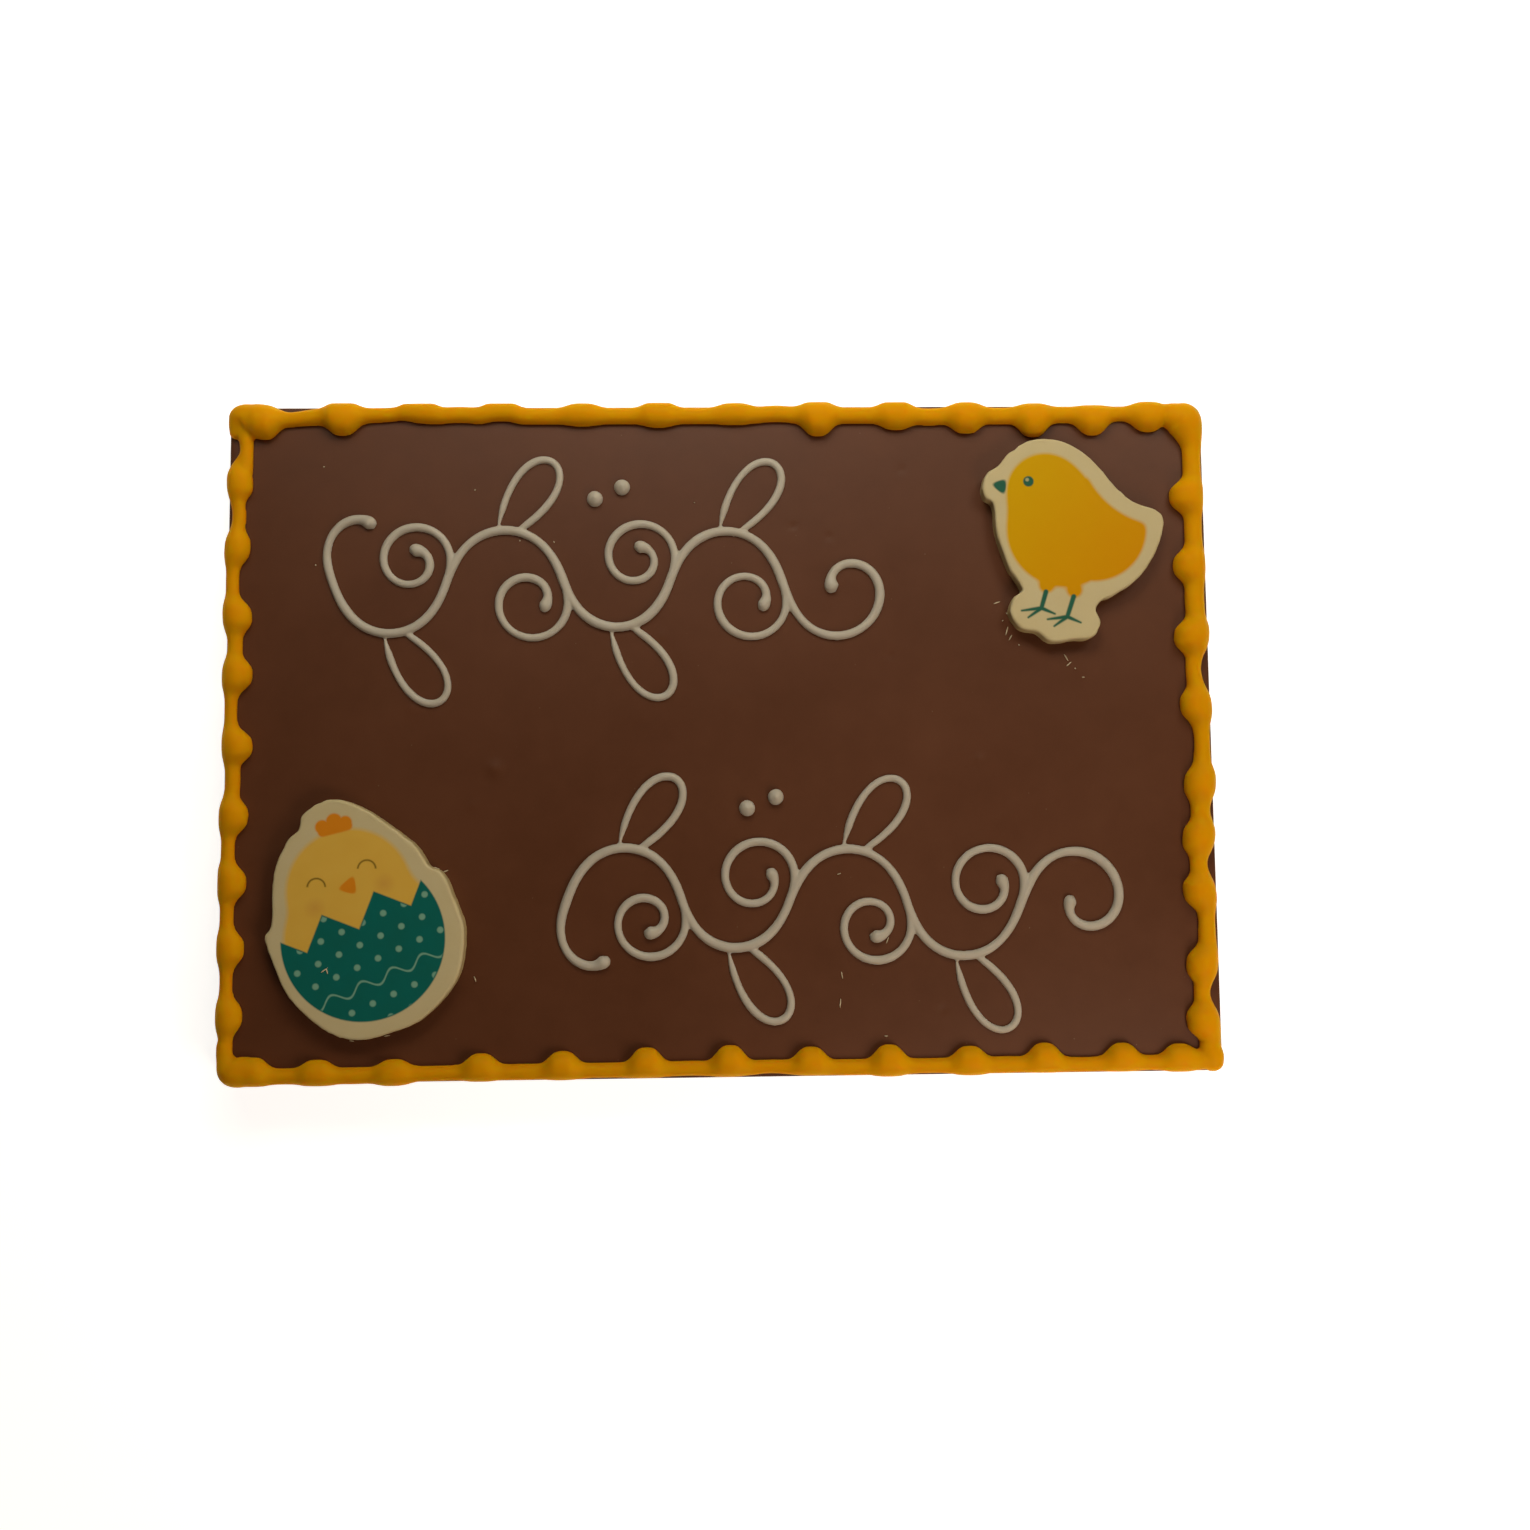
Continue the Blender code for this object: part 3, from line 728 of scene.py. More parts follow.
def draw_leaf(foot, heading):
    """A loop that leaves the stem, turns at the leaf's tip and comes back beside itself."""
    out = Vector((math.cos(heading), math.sin(heading)))
    across = Vector((-out.y, out.x))
    first = foot - across * LEAF_FOOT_SPACING / 2
    last = foot + across * LEAF_FOOT_SPACING / 2
    pull = out * LEAF_LENGTH / PULL_SHARE
    flare = across * (LEAF_WIDTH / 2 - FOOT_SHARE * LEAF_FOOT_SPACING) / FLARE_SHARE
    steps = round(2 * LEAF_LENGTH / PATH_STEP)
    points = []
    for step in range(steps + 1):
        t = step / steps
        start_pull = 3 * (1 - t) ** 2 * t * (first + pull - flare)
        end_pull = 3 * (1 - t) * t**2 * (last + pull + flare)
        points.append((1 - t) ** 3 * first + start_pull + end_pull + t**3 * last)
    return points


# %% [markdown]
# The bag starts and stops in a small blob, and the line in between is never quite even. Each
# line's half width is its radius, swollen near a blob and wandering slowly along the way.

# %% Give the lines their width
BLOB_GROWTH = 1.5
BLOB_REACH = 1.35
BLOB_WIDTH = 1.1 * BLOB_REACH
BLOB_TIP = 0.12
LINE_UNEVENNESS = 0.16
TAPER_START = 0.4
TAPER_REACH = 1.8
LINE_STATION = 2
VINE_FACETS = 14
VINE_VOXEL = 0.21


def blob(distance):
    """Growth of a line's radius at this distance from an end where the bag starts or stops."""
    swell = 1 + (BLOB_GROWTH - 1) * bell(distance - BLOB_REACH, BLOB_WIDTH)
    short = max(0.0, 1 - distance / BLOB_REACH)
    return swell * max(BLOB_TIP, math.sqrt(1 - short * short))


def line_stations(points, radius, blobs=(), tapered=False):
    """Stations of a piped line of this radius; blobs names the ends that have one."""
    total = PATH_STEP * (len(points) - 1)
    stations = []
    for index in range(0, len(points), LINE_STATION):
        point = points[index]
        along = PATH_STEP * index
        uneven = wander(point.x, point.y, size=9.0, seed=radius)
        half_width = radius * (1 + LINE_UNEVENNESS * uneven)
        for end, distance in (("start", along), ("end", total - along)):
            if end in blobs:
                half_width *= blob(distance)
            elif tapered:
                half_width *= min(1.0, TAPER_START + (1 - TAPER_START) * distance / TAPER_REACH)
        stations.append((point, half_width, ICING_ROUNDNESS * half_width))
    return stations


def vine_lines(start, spans, side):
    """The stem, leaves and curls of a vine, each as the stations of one line of icing."""
    point, heading = Vector(start), -side * VINE_SWING
    root, _ = draw_path(point, heading + math.pi, VINE_ROOT, side)
    stem = root[::-1]
    lines = []
    for number, span in enumerate(spans):
        curvature = 2 * math.sin(VINE_SWING) / span
        length = 2 * VINE_SWING / curvature
        bends = [(share * length, part * curvature) for share, part in SWING_BENDS]
        swing, heading = draw_path(point, heading, bends, side)
        middle = len(swing) // 2
        run = swing[middle + 1] - swing[middle]
        leaf = draw_leaf(swing[middle], math.atan2(run.y, run.x) - side * LEAF_LEAN)
        lines.append(line_stations(leaf, LEAF_RADIUS, tapered=True))
        bends = TIGHT_CURL if number % 2 else WIDE_CURL
        curl, _ = draw_path(swing[-1], heading, bends, side)
        lines.append(line_stations(curl, CURL_RADIUS, ["end"]))
        stem += swing[1:]
        point = swing[-1]
        side = -side
    tip, _ = draw_path(point, heading, VINE_TIP, side)
    return [line_stations(stem + tip[1:], STEM_RADIUS, ["start", "end"])] + lines


def pipe_vine(start, spans, side):
    bm = bmesh.new()
    for line in vine_lines(start, spans, side):
        roll_line(bm, line, VINE_FACETS)
    return fuse(bm, VINE_VOXEL)


# %% [markdown]
# The cream icing is a warm off-white. It has a faint sheen along its round back, which the duller
# yellow icing lacks, and the grain of its sugar breaks the sheen up.

# %% Cream icing
CREAM = (0.472, 0.439, 0.369)
CREAM_DEEP = (0.406, 0.370, 0.301)


def cream_icing():
    finish = Finish(
        "cream_icing",
        Specular_IOR_Level=0.2,
        Subsurface_Weight=0.15,
        Subsurface_Radius=(1.0, 0.7, 0.4),
        Subsurface_Scale=0.0008,
    )
    clouds = finish.noise(size=3.0)
    grain = finish.noise(size=0.3)
    colour = finish.mottled(clouds, grain, CREAM, CREAM_DEEP)
    roughness = 0.38 + 0.14 * clouds
    return finish.finish(colour, roughness, clouds + grain * 0.2, relief=0.03)


cream = cream_icing()
vines = [
    ("piped_upper_vine", UPPER_VINE_START, UPPER_VINE_SPANS, 1, "vine_upper"),
    ("piped_lower_vine", LOWER_VINE_START, LOWER_VINE_SPANS, -1, "vine_lower"),
]
for name, start, spans, side, node in vines:
    add_piece(name, pipe_vine(start, spans, side), cream, [node])

# %% [markdown]
# Four loose dots are single presses of the bag. Each starts as a sphere with a flat foot, is
# pressed a little out of round and gets the faint peak that the nozzle pulls as it lifts.

# %% The dots
DOT_COUNT = 4
DOT_RADIUS = 1.6
DOT_UNEVENNESS = 0.06
DOT_SQUASH = 0.97
DOT_PEAK = 0.18
DOT_PEAK_WIDTH = 0.5


def press_dot(low, high, seed):
    bm = bmesh.new()
    bmesh.ops.create_icosphere(bm, subdivisions=4, radius=DOT_RADIUS)
    bmesh.ops.translate(bm, vec=(0, 0, ICING_LIFT * DOT_RADIUS), verts=bm.verts)
    every_part = bm.verts[:] + bm.edges[:] + bm.faces[:]
    bmesh.ops.bisect_plane(
        bm, geom=every_part, plane_co=(0, 0, 0), plane_no=(0, 0, 1), clear_inner=True
    )
    bmesh.ops.holes_fill(bm, edges=open_edges(bm.edges))
    for vert in bm.verts:
        x, y, z = vert.co
        swell = 1 + DOT_UNEVENNESS * wander(x, y, size=2.5, seed=seed)
        peak = DOT_PEAK * bell(math.hypot(x, y), DOT_PEAK_WIDTH) if z > DOT_RADIUS / 2 else 0
        vert.co = Vector((x * swell, y * swell, z * DOT_SQUASH + peak))
    centre = (low + high) / 2 / MM
    bmesh.ops.translate(bm, vec=(centre.x, centre.y, ICING_FOOT), verts=bm.verts)
    bmesh.ops.recalc_face_normals(bm, faces=bm.faces)
    return bm


for number in range(1, DOT_COUNT + 1):
    node = f"dot_{number}"
    dot = press_dot(*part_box(node), float(number))
    add_piece(f"piped_{node}", dot, cream, [node])

# %% [markdown]
# ## The printed plaques
#
# A plaque is a thin sheet of white chocolate with edible ink on top, cut out round the figure with
# a warm knife. The knife leaves the wall slightly rough and rounds the upper edge. The outline is
# extruded, its wall is cut into rows and roughened, the rim is bevelled, and a narrow inset keeps
# the rim's rounding out of the flat top.

# %% The outlines
PLAQUE_THICKNESS = 3.0
PLAQUE_RIM = 0.45
PLAQUE_SINK = 0.06
PLAQUE_STEPS = 9
PLAQUE_LID_INSET = 0.35
KNIFE_WANDER = 0.14
KNIFE_ROWS = 5
KNIFE_MARK = 0.09
KNIFE_SWEEP = 0.072
KNIFE_SWEEP_DEPTH = 1.5

# Outlines as places measured from the plaque's centre; a smooth curve joins them.
CHICK_CENTRE = (71.5, 39.0)
CHICK_OUTLINE = [
    (-18.3, 11.4), (-17.3, 13.9), (-15.0, 15.5), (-12.8, 17.9), (-8.8, 20.5), (-5.0, 20.9),
    (-1.3, 20.2), (3.7, 17.0), (9.4, 10.4), (12.8, 7.7), (16.8, 6.2), (18.4, 4.0),
    (17.2, -1.3), (13.2, -7.6), (7.8, -11.3), (5.2, -12.4), (4.2, -14.4), (4.9, -16.8),
    (3.4, -19.8), (-0.9, -20.3), (-5.1, -20.7), (-7.8, -18.8), (-11.1, -17.9), (-13.3, -14.8),
    (-12.4, -11.7), (-10.7, -9.8), (-13.4, -5.2), (-15.6, 1.7), (-16.1, 7.2), (-17.8, 9.0),
]
HATCHING_CENTRE = (-70.5, -35.5)
HATCHING_OUTLINE = [
    (-5.2, 23.3), (-0.5, 21.5), (3.2, 19.1), (9.7, 14.2), (12.5, 10.1), (15.3, 8.4),
    (17.9, 2.6), (19.5, -3.0), (18.2, -11.8), (12.0, -19.3), (6.0, -22.1), (-1.0, -23.6),
    (-7.3, -21.7), (-14.4, -15.3), (-18.2, -7.0), (-19.2, -3.5), (-18.0, -0.7), (-17.7, 8.7),
    (-15.2, 15.1), (-13.0, 17.4), (-12.3, 20.2), (-8.9, 22.7),
]


def cut_plaque(centre, outline):
    bm = bmesh.new()
    corners = []
    for point in smooth_through(outline, PLAQUE_STEPS, closed=True):
        x, y = Vector(centre) + point
        step_x = KNIFE_WANDER * wander(x, y, size=1.6)
        step_y = KNIFE_WANDER * wander(x, y, size=1.6, seed=5.0)
        corners.append((x + step_x, y + step_y, SLAB_HEIGHT - PLAQUE_SINK))
    face = bm.faces.new([bm.verts.new(corner) for corner in corners])
    raised = only_verts(bmesh.ops.extrude_face_region(bm, geom=[face])["geom"])
    bmesh.ops.translate(bm, vec=(0, 0, PLAQUE_THICKNESS + PLAQUE_SINK), verts=raised)
    uprights = [e for e in bm.edges if e.verts[0].co.z != e.verts[1].co.z]
    rows = bmesh.ops.subdivide_edges(bm, edges=uprights, cuts=KNIFE_ROWS)["geom_inner"]
    bmesh.ops.recalc_face_normals(bm, faces=bm.faces)
    for vert in only_verts(rows):
        x, y, z = vert.co
        mark = KNIFE_MARK * wander(x + z, y - z, size=0.9, seed=2.0)
        sweep = KNIFE_SWEEP * wander(x, y, size=3.0, seed=z / KNIFE_SWEEP_DEPTH)
        vert.co += vert.normal * (mark + sweep)
    top = max(vert.co.z for vert in bm.verts)
    rim = [e for e in bm.edges if min(vert.co.z for vert in e.verts) > top - WELD]
    bmesh.ops.bevel(
        bm, geom=rim, offset=PLAQUE_RIM, segments=3, affect="EDGES", profile=0.5, material=-1
    )
    lid = max(bm.faces, key=lambda f: f.calc_center_median().z)
    bmesh.ops.inset_region(bm, faces=[lid], thickness=PLAQUE_LID_INSET, use_even_offset=True)
    bmesh.ops.recalc_face_normals(bm, faces=bm.faces)
    return bm


# %% [markdown]
# ## The print
#
# Edible ink soaks into the white chocolate, so its edges are soft and it has no thickness. The
# figures are drawn with signed distances: a formula gives, for each place, how far it is from a
# shape's edge, negative inside. Shapes are joined by taking the smaller distance, and a soft
# threshold turns the distance into ink. The drawing is a plain chick and a plain chick in its
# egg, as on any spring bakery's sheet.

# %% Distances to simple shapes
BEAK_ROUNDING = 2.0
BEAK_SWELL = 0.35


def to_circle(finish, centre, radius):
    where = {0: finish.flat_place, 1: (*centre, 0)}
    return finish.amount("ShaderNodeVectorMath", {"operation": "DISTANCE"}, where, "Value") - radius


def to_stroke(finish, start, end, radius, end_radius):
    """Distance to a straight stroke, which may taper towards its end."""
    run = Vector(end) - Vector(start)
    unit = run / run.length_squared
    share = ((finish.x - start[0]) * unit.x + (finish.y - start[1]) * unit.y).clamped()
    away_x = finish.x - start[0] - share * run.x
    away_y = finish.y - start[1] - share * run.y
    distance = (away_x * away_x + away_y * away_y).root()
    return distance - radius - share * (end_radius - radius)


def to_beak(finish, corners):
    """Distance to a rounded triangle, whose corners go round anticlockwise."""
    sides = []
    for start, end in zip(corners, corners[1:] + corners[:1]):
        run = (Vector(end) - Vector(start)).normalized()
        offset = run.y * start[0] - run.x * start[1]
        sides.append(finish.x * run.y - finish.y * run.x - offset)
    rounded = sides[0].smooth_most(sides[1], BEAK_ROUNDING).smooth_most(sides[2], BEAK_ROUNDING)
    return rounded - BEAK_SWELL


def nearest(distances):
    nearest_yet, *others = distances
    for distance in others:
        nearest_yet = nearest_yet.least(distance)
    return nearest_yet


# %% White chocolate under the ink
WHITE_CHOCOLATE = (0.55, 0.475, 0.278)
WHITE_CHOCOLATE_DEEP = (0.50, 0.420, 0.230)
# Painted shade: below the top, the plaque's cut walls are darkened towards a brown.
PAINTED_WALL_SHADE = (0.36, 0.255, 0.10)
WALL_SHADE_START = 0.5
WALL_SHADE_BLEND = 0.4
WALL_SHADE_SHARE = 0.6
INK_DEPTH = 0.35
INK_SHARPNESS = 6
INK_SOFTNESS = 0.28


class PrintedFinish(Finish):
    """White chocolate that takes ink on its upper face only."""

    def __init__(self, name):
        super().__init__(
            name,
            Specular_IOR_Level=0.04,
            Subsurface_Weight=0.12,
            Subsurface_Radius=(1.0, 0.7, 0.35),
            Subsurface_Scale=0.001,
        )
        flat = {"X": self.x, "Y": self.y, "Z": 0.0}
        self.flat_place = self.add("ShaderNodeCombineXYZ", {}, flat).outputs[0]
        self.clouds = self.noise(size=6.0)
        self.grain = self.noise(size=0.45)
        plain = self.mottled(self.clouds, self.grain, WHITE_CHOCOLATE, WHITE_CHOCOLATE_DEEP)
        top = SLAB_HEIGHT + PLAQUE_THICKNESS
        # Painted shade on the walls: from a little below the top they are mixed towards the dark
        # brown.
        wall = ((top - WALL_SHADE_START - self.z) / WALL_SHADE_BLEND).clamped()
        self.colour = self.mix(wall * WALL_SHADE_SHARE, plain, PAINTED_WALL_SHADE)
        self.upper_face = ((self.z - top + INK_DEPTH) * INK_SHARPNESS).clamped()

    def ink(self, distance, colour, strength=1.0, softness=INK_SOFTNESS):
        """Print a shape, over whatever was printed there before."""
        cover = distance.inside(softness) * self.upper_face * strength
        self.colour = self.mix(cover, self.colour, colour)

    def printed(self):
        roughness = 0.42 + 0.10 * self.clouds
        return self.finish(self.colour, roughness, self.clouds + self.grain * 0.3, relief=0.04)


# %% [markdown]
# The chick stands in profile: a round head, a rounder body and a broad rump, all run together. A
# large circle is cut out of them to hollow the back, which leaves the tail as a point. The yellow
# turns to orange towards the tail. Beak, eye, legs and toes are teal.

# %% Print the chick
CHICK_YELLOW = (0.56, 0.325, 0.0015)
CHICK_ORANGE = (0.57, 0.250, 0.0008)
TEAL = (0.022, 0.108, 0.070)
EYE_SHINE = (0.36, 0.36, 0.20)
CHICK_HEAD = ((66.0, 48.9), 8.0)
CHICK_BODY = ((69.5, 41.0), 11.7)
CHICK_RUMP = ((75.4, 41.4), 10.9)
HOLLOW_OF_BACK = ((90.5, 59.3), 17.4)
BODY_ROUNDING = 4.0
TAIL_ROUNDING = 2.0
ORANGE_START = (60.0, 48.0)
ORANGE_REACH = (40.0, 45.0)
CHICK_BEAK = [(55.3, 50.5), (57.4, 48.7), (57.7, 51.3)]
CHICK_EYE = (62.5, 51.1)
EYE_RADIUS = 1.08
EYE_RIM_RADIUS = 1.7
SHINE_RADIUS = 0.36
SHINE_OFFSET = (-0.25, 0.35)
CHICK_LEGS = [((65.5, 28.4), (64.5, 25.1)), ((71.1, 27.4), (69.7, 23.3))]
LEG_RADII = (0.50, 0.45)
CHICK_TOES = [(-4.0, -0.5), (-2.7, -1.9), (2.7, -1.2)]
TOE_RADII = (0.42, 0.2)
TUFT_OFFSET = (0.2, 1.4)
TUFT_RADIUS = 1.6
TUFT_ROUNDING = 1.5


def chick_print():
    finish = PrintedFinish("printed_chick")
    head = to_circle(finish, *CHICK_HEAD)
    outside_hollow = 0.0 - to_circle(finish, *HOLLOW_OF_BACK)
    body = to_circle(finish, *CHICK_BODY).smooth_most(outside_hollow, BODY_ROUNDING)
    rump = to_circle(finish, *CHICK_RUMP).smooth_most(outside_hollow, TAIL_ROUNDING)
    figure = head.smooth_least(body, BODY_ROUNDING).least(rump)
    strokes = []
    for hip, heel in CHICK_LEGS:
        tuft = to_circle(finish, Vector(hip) + Vector(TUFT_OFFSET), TUFT_RADIUS)
        figure = figure.smooth_least(tuft, TUFT_ROUNDING)
        strokes.append(to_stroke(finish, hip, heel, *LEG_RADII))
        for toe in CHICK_TOES:
            tip = Vector(heel) + Vector(toe)
            strokes.append(to_stroke(finish, heel, tip, *TOE_RADII))
    away_x = (finish.x - ORANGE_START[0]) / ORANGE_REACH[0]
    away_y = (ORANGE_START[1] - finish.y) / ORANGE_REACH[1]
    share = (away_x + away_y + finish.clouds * 0.2).clamped()
    finish.ink(figure, finish.mix(share, CHICK_YELLOW, CHICK_ORANGE), softness=0.7)
    finish.ink(nearest(strokes), TEAL)
    finish.ink(to_beak(finish, CHICK_BEAK), TEAL)
    eye_rim = to_circle(finish, CHICK_EYE, EYE_RIM_RADIUS)
    finish.ink(eye_rim, CHICK_YELLOW, strength=0.5, softness=0.8)
    finish.ink(to_circle(finish, CHICK_EYE, EYE_RADIUS), TEAL)
    shine = Vector(CHICK_EYE) + Vector(SHINE_OFFSET)
    finish.ink(to_circle(finish, shine, SHINE_RADIUS), EYE_SHINE)
    return finish.printed()


# %% [markdown]
# The second figure is a chick looking out of its egg. Head and egg share one pear-shaped outline.
# A zigzag crack runs across it; below the crack the shell is teal, with staggered pale dots and a
# plain wavy garland. The eyes are closed, as two small arcs.

# %% Print the hatching chick
DOWN_YELLOW = (0.66, 0.420, 0.070)
DOWN_SHADE = (0.62, 0.370, 0.052)
SHELL_TEAL = (0.0045, 0.130, 0.115)
SHELL_DEEP = (0.0065, 0.112, 0.092)
SHELL_PALE = (0.20, 0.40, 0.29)
COMB_ORANGE = (0.62, 0.215, 0.010)
BLUSH = (0.47, 0.215, 0.05)
EYE_BROWN = (0.12, 0.075, 0.008)
EGG = ((-70.6, -39.6), 15.4)
HATCHLING_HEAD = ((-73.4, -30.2), 12.3)
HATCHLING_ROUNDING = 2.0
CRACK_MIDDLE = (-71.5, -34.6)
CRACK_SLOPE = math.radians(24)
CRACK_PERIOD = 11.0
CRACK_START = 0.60
CRACK_DEPTH = 5.6
SHELL_PROUD = 0.6
SHELL_MARGIN = 0.25
SHELL_DOT_SPACING = 4.4
SHELL_DOT_RADIUS = 0.62
SHELL_ROW = SHELL_DOT_SPACING * math.sqrt(3) / 2
GARLAND_ROW = -4
GARLAND_WAVE = 1.0
GARLAND_PERIOD = 6.4
GARLAND_RADIUS = 0.2
EYES = [(-79.8, -29.4), (-70.0, -25.9)]
EYE_ARC = 1.75
EYELID_RADIUS = 0.16
EYELID_REACH = 0.1
HATCHLING_BEAK = [(-75.2, -29.7), (-72.3, -30.5), (-72.7, -27.5)]
COMB = [((-78.8, -17.6), 1.4), ((-76.5, -16.5), 1.6), ((-74.3, -16.7), 1.3)]
COMB_FOOT = ((-78.7, -18.5), (-73.9, -17.3), 1.0, 1.0)
CHEEKS = [(-80.0, -33.4), (-66.6, -28.8)]
CHEEK_RADIUS = 1.3


def polka_dots(along, above):
    """Distance to the nearest dot of the shell's staggered rows."""
    row = (above / SHELL_ROW).floor()
    odd = (row / 2).fraction()
    away_x = ((along / SHELL_DOT_SPACING + odd).fraction() - 0.5) * SHELL_DOT_SPACING
    away_y = above - (row + 0.5) * SHELL_ROW
    return (away_x * away_x + away_y * away_y).root() - SHELL_DOT_RADIUS


def hatching_print():
    finish = PrintedFinish("printed_hatching_chick")
    egg = to_circle(finish, *EGG)
    figure = egg.smooth_least(to_circle(finish, *HATCHLING_HEAD), HATCHLING_ROUNDING)
    finish.ink(figure, finish.mix(finish.clouds, DOWN_YELLOW, DOWN_SHADE), softness=1.0)
    comb = [to_circle(finish, *lobe) for lobe in COMB] + [to_stroke(finish, *COMB_FOOT)]
    finish.ink(nearest(comb), COMB_ORANGE, softness=0.4)
    for cheek in CHEEKS:
        finish.ink(to_circle(finish, cheek, CHEEK_RADIUS), BLUSH, strength=0.35, softness=2.2)
    for eye in EYES:
        eyelid = abs(to_circle(finish, eye, EYE_ARC)) - EYELID_RADIUS
        upper_half = (eye[1] + EYELID_REACH) - finish.y
        finish.ink(eyelid.most(upper_half), EYE_BROWN, strength=0.9)
    finish.ink(to_beak(finish, HATCHLING_BEAK), COMB_ORANGE)
    cos, sin = math.cos(CRACK_SLOPE), math.sin(CRACK_SLOPE)
    out_x, out_y = finish.x - CRACK_MIDDLE[0], finish.y - CRACK_MIDDLE[1]
    along, above = out_x * cos + out_y * sin, out_y * cos - out_x * sin
    teeth = abs((along / CRACK_PERIOD + CRACK_START).fraction() * 2 - 1)
    zigzag = (teeth - 0.5) * CRACK_DEPTH
    steepness = math.hypot(1, 2 * CRACK_DEPTH / CRACK_PERIOD)
    shell = ((above - zigzag) / steepness).most(egg - SHELL_PROUD)
    finish.ink(shell, finish.mix(finish.clouds, SHELL_TEAL, SHELL_DEEP))
    garland_line = above - (GARLAND_ROW + 0.5) * SHELL_ROW
    wave = (along * (math.tau / GARLAND_PERIOD)).sine() * GARLAND_WAVE
    garland = abs(garland_line - wave) - GARLAND_RADIUS
    beside_garland = SHELL_ROW / 2 - abs(garland_line)
    for pattern in (polka_dots(along, above).most(beside_garland), garland):
        finish.ink(pattern.most(shell + SHELL_MARGIN), SHELL_PALE, strength=0.85)
    return finish.printed()


plaques = [
    ("cut_chick_plaque", CHICK_CENTRE, CHICK_OUTLINE, chick_print(), "chick_plaque"),
    ("cut_hatching_plaque", HATCHING_CENTRE, HATCHING_OUTLINE, hatching_print(), "hatching_plaque"),
]
for name, centre, outline, ink, node in plaques:
    add_piece(name, cut_plaque(centre, outline), ink, [node])

# %% [markdown]
# ## Crumbs
#
# Cutting the plaques leaves shavings, and a few of them lie on the slab. Each is a tiny ball,
# stretched to a splinter or left as a grain, dented and laid flat. They are one joined piece.

# %% Shavings and grains
# Shavings as (x, y, length, turn in degrees), grains as (x, y).
SHAVINGS = [
    (56.1, 26.8, 1.5, 20), (58.0, 21.0, 1.9, 75), (58.7, 19.6, 1.3, 60), (58.2, 24.5, 0.8, 140),
    (70.0, 15.4, 1.7, 120), (70.5, 14.1, 1.4, 40), (73.4, 11.4, 0.6, 0), (23.4, -48.0, 1.5, 100),
    (23.0, -53.5, 1.9, 85), (32.6, -41.2, 1.4, 70), (23.1, -27.9, 0.8, 20), (32.0, -60.1, 0.8, 0),
    (-57.0, -25.9, 1.4, 160), (-55.2, -26.5, 1.1, 20), (-49.3, -47.8, 1.2, 110),
    (-66.5, -58.7, 1.3, 10), (-73.4, -59.6, 1.0, 170),
]
GRAINS = [
    (-80.3, 55.5), (-81.7, 35.3), (-40.7, 40.1), (-33.8, 39.8), (-5.3, 47.8), (-49.8, 50.6),
    (57.2, 23.1), (71.8, 13.2), (60.4, 18.1),
]
EGG_SHAVINGS = [(-78.0, -45.5, 1.7, 35), (-77.5, -45.7, 1.2, 110)]
SHAVING_WIDTH = 0.28
THINNEST = 0.8
THICKER_BY = 0.3
GRAIN_LENGTH = 0.34
GRAIN_TURN = 40
CRUMB_DENT = 0.45
CRUMB_BEND = 0.25
CRUMB_LIFT = 0.38
SEED_STEP = 1.37
GRAIN_SEED = 30
EGG_SEED = 70


def lay_crumb(bm, x, y, z, length, turn, seed):
    ball = bmesh.ops.create_icosphere(bm, subdivisions=2, radius=0.5)["verts"]
    width = SHAVING_WIDTH * (THINNEST + THICKER_BY * abs(wander(seed, 0, size=1.7)))
    for vert in ball:
        dent = 1 + CRUMB_DENT * noise.noise(vert.co * 3 + Vector((seed, 0, 0)))
        bend = CRUMB_BEND * vert.co.x * vert.co.x
        vert.co = Vector((vert.co.x * length, (vert.co.y + bend) * width * dent, vert.co.z * width))
    spin = Matrix.Rotation(math.radians(turn), 3, "Z")
    bmesh.ops.rotate(bm, cent=(0, 0, 0), matrix=spin, verts=ball)
    bmesh.ops.translate(bm, vec=(x, y, z + width * CRUMB_LIFT), verts=ball)


def scatter_crumbs():
    bm = bmesh.new()
    for number, (x, y, length, turn) in enumerate(SHAVINGS):
        lay_crumb(bm, x, y, SLAB_HEIGHT + face_height(x, y), length, turn, number * SEED_STEP)
    for number, (x, y) in enumerate(GRAINS):
        z, turn = SLAB_HEIGHT + face_height(x, y), GRAIN_TURN * number
        lay_crumb(bm, x, y, z, GRAIN_LENGTH, turn, GRAIN_SEED + number * SEED_STEP)
    for number, (x, y, length, turn) in enumerate(EGG_SHAVINGS):
        lay_crumb(bm, x, y, SLAB_HEIGHT + PLAQUE_THICKNESS, length, turn, EGG_SEED + number)
    return bm


# %% Crumb finish
CRUMB_PALE = (0.60, 0.53, 0.38)
CRUMB_DEEP = (0.42, 0.33, 0.19)


def crumb_finish():
    finish = Finish("white_chocolate_crumb", Specular_IOR_Level=0.4)
    grain = finish.noise(size=0.5)
    colour = finish.mix(grain, CRUMB_PALE, CRUMB_DEEP)
    return finish.finish(colour, 0.5 + 0.2 * grain, grain, relief=0.03)


add_piece("white_chocolate_crumbs", scatter_crumbs(), crumb_finish())

# %% [markdown]
# ## Floor, light and camera
#
# The tablet lies on a plain pale floor with a pale wall round it, far off. Only the camera sees the
# wall, so it gives a low view its pale background without lighting the chocolate from the side.
# Three soft lamps stand beyond the far edge, the strongest in the middle, so the far side is
# brighter and each bead is lit on its far flank. A fourth lamp at the near right and a dim sky
# lift the shade. Both are warmer than the far lamps, as light is that a room throws back.

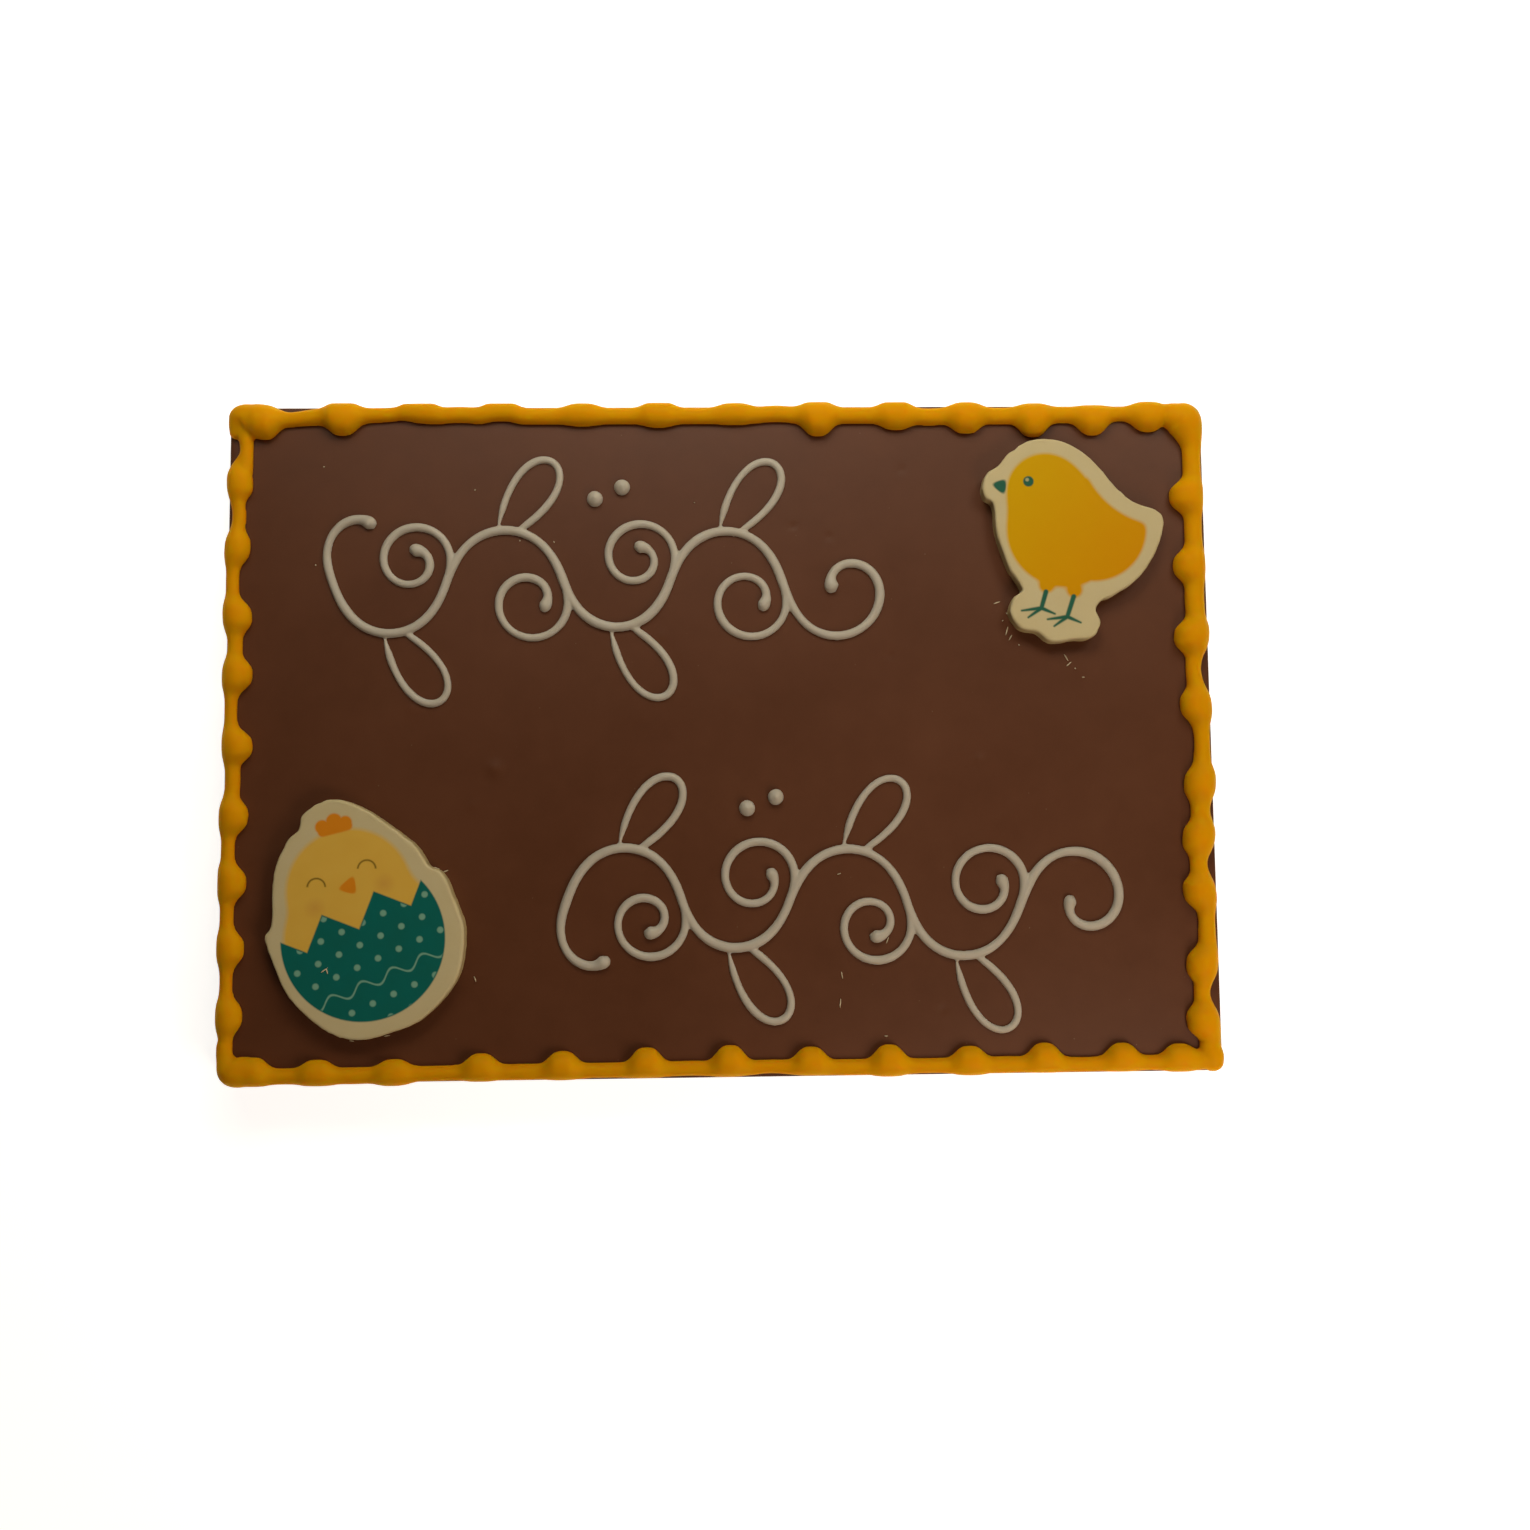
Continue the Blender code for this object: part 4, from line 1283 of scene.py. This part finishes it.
# %% The floor and the wall
# From here on, places and sizes are in metres; only a noise is still measured in millimetres.
FLOOR_SIZE = 3.0
FLOOR_PALE = (0.78, 0.775, 0.765)
FLOOR_PALER = (0.80, 0.795, 0.785)
FLOOR_GLOW = (1, 0.995, 0.985, 1)
BACKDROP_RADIUS = 1.4
BACKDROP_HEIGHT = 2.0


def pale_floor():
    finish = Finish("pale_floor", Emission_Strength=0.8, Emission_Color=FLOOR_GLOW)
    clouds = finish.noise(size=60.0)
    colour = finish.mix(clouds, FLOOR_PALE, FLOOR_PALER)
    return finish.finish(colour, 0.7 + 0.05 * clouds, clouds, relief=0.01)


pale = pale_floor()
grid = bmesh.new()
bmesh.ops.create_grid(grid, x_segments=4, y_segments=4, size=FLOOR_SIZE / 2)
new_object("floor", grid, pale)

ring = bmesh.new()
bmesh.ops.create_cone(
    ring, segments=96, radius1=BACKDROP_RADIUS, radius2=BACKDROP_RADIUS, depth=BACKDROP_HEIGHT
)
bmesh.ops.translate(ring, vec=(0, 0, BACKDROP_HEIGHT / 2), verts=ring.verts)
bmesh.ops.reverse_faces(ring, faces=ring.faces)
far_wall = new_object("far_wall", ring, pale)
for kind in ("diffuse", "glossy", "transmission", "shadow"):
    setattr(far_wall, f"visible_{kind}", False)

# %% The lamps
LAMP_SIZE = 0.12
LAMP_AIM = 0.35
FAR_TINT = (1.0, 0.92, 0.77)
NEAR_TINT = (1.0, 0.81, 0.64)
SKY_TINT = (1.0, 0.88, 0.74, 1)
SKY_STRENGTH = 0.05
# Lamps as (name, place, watts, tint).
LAMPS = [
    ("far_lamp", (0.0, 0.225, 0.20), 0.355, FAR_TINT),
    ("far_right_lamp", (0.20, 0.20, 0.22), 0.29, FAR_TINT),
    ("far_left_lamp", (-0.12, 0.20, 0.20), 0.125, FAR_TINT),
    ("near_right_lamp", (0.14, -0.20, 0.18), 0.39, NEAR_TINT),
]
for name, (x, y, z), power, tint in LAMPS:
    lamp = bpy.data.lights.new(name, "AREA")
    lamp.shape = "SQUARE"
    lamp.size = LAMP_SIZE
    lamp.energy = power
    lamp.color = tint
    holder = bpy.data.objects.new(name, lamp)
    holder.visible_camera = False
    aim = Vector((LAMP_AIM * x - x, LAMP_AIM * y - y, -z)).to_track_quat("-Z", "Y")
    holder.matrix_world = Matrix.Translation((x, y, z)) @ aim.to_matrix().to_4x4()
    bpy.context.scene.collection.objects.link(holder)

world = bpy.data.worlds.new("dim_sky")
bpy.context.scene.world = world
world.use_nodes = True
sky = world.node_tree.nodes["Background"].inputs
sky["Color"].default_value = SKY_TINT
sky["Strength"].default_value = SKY_STRENGTH

# %% [markdown]
# The camera looks almost straight down from about 27 cm. It has the slight tilt of a hand-held
# one, so hardly any of the slab's walls shows and its long sides aren't quite parallel.

# %% The camera
CAMERA_PLACE = (0.0023, -0.0241, 0.2688)
CAMERA_TILT = (3.99, -1.36, -0.51)
FRAME_PIXELS = 1530
FOCAL_PIXELS = 1300
SENSOR = 36.0

camera_data = bpy.data.cameras.new("camera")
camera_data.sensor_width = SENSOR
camera_data.lens = SENSOR * FOCAL_PIXELS / FRAME_PIXELS
camera_data.clip_start = 0.01
camera = bpy.data.objects.new("camera", camera_data)
turn = Matrix.Identity(4)
for degrees, axis in zip(CAMERA_TILT, "XYZ"):
    turn = turn @ Matrix.Rotation(math.radians(degrees), 4, axis)
camera.matrix_world = Matrix.Translation(CAMERA_PLACE) @ turn
bpy.context.scene.collection.objects.link(camera)
bpy.context.scene.camera = camera
bpy.context.scene.view_settings.view_transform = "Standard"

# %% [markdown]
# Last, the box of the plain model is printed.

# %% The plain model's box and the end
print("cad", [round(v / MM, 2) for v in (*cad_low, *cad_high)])
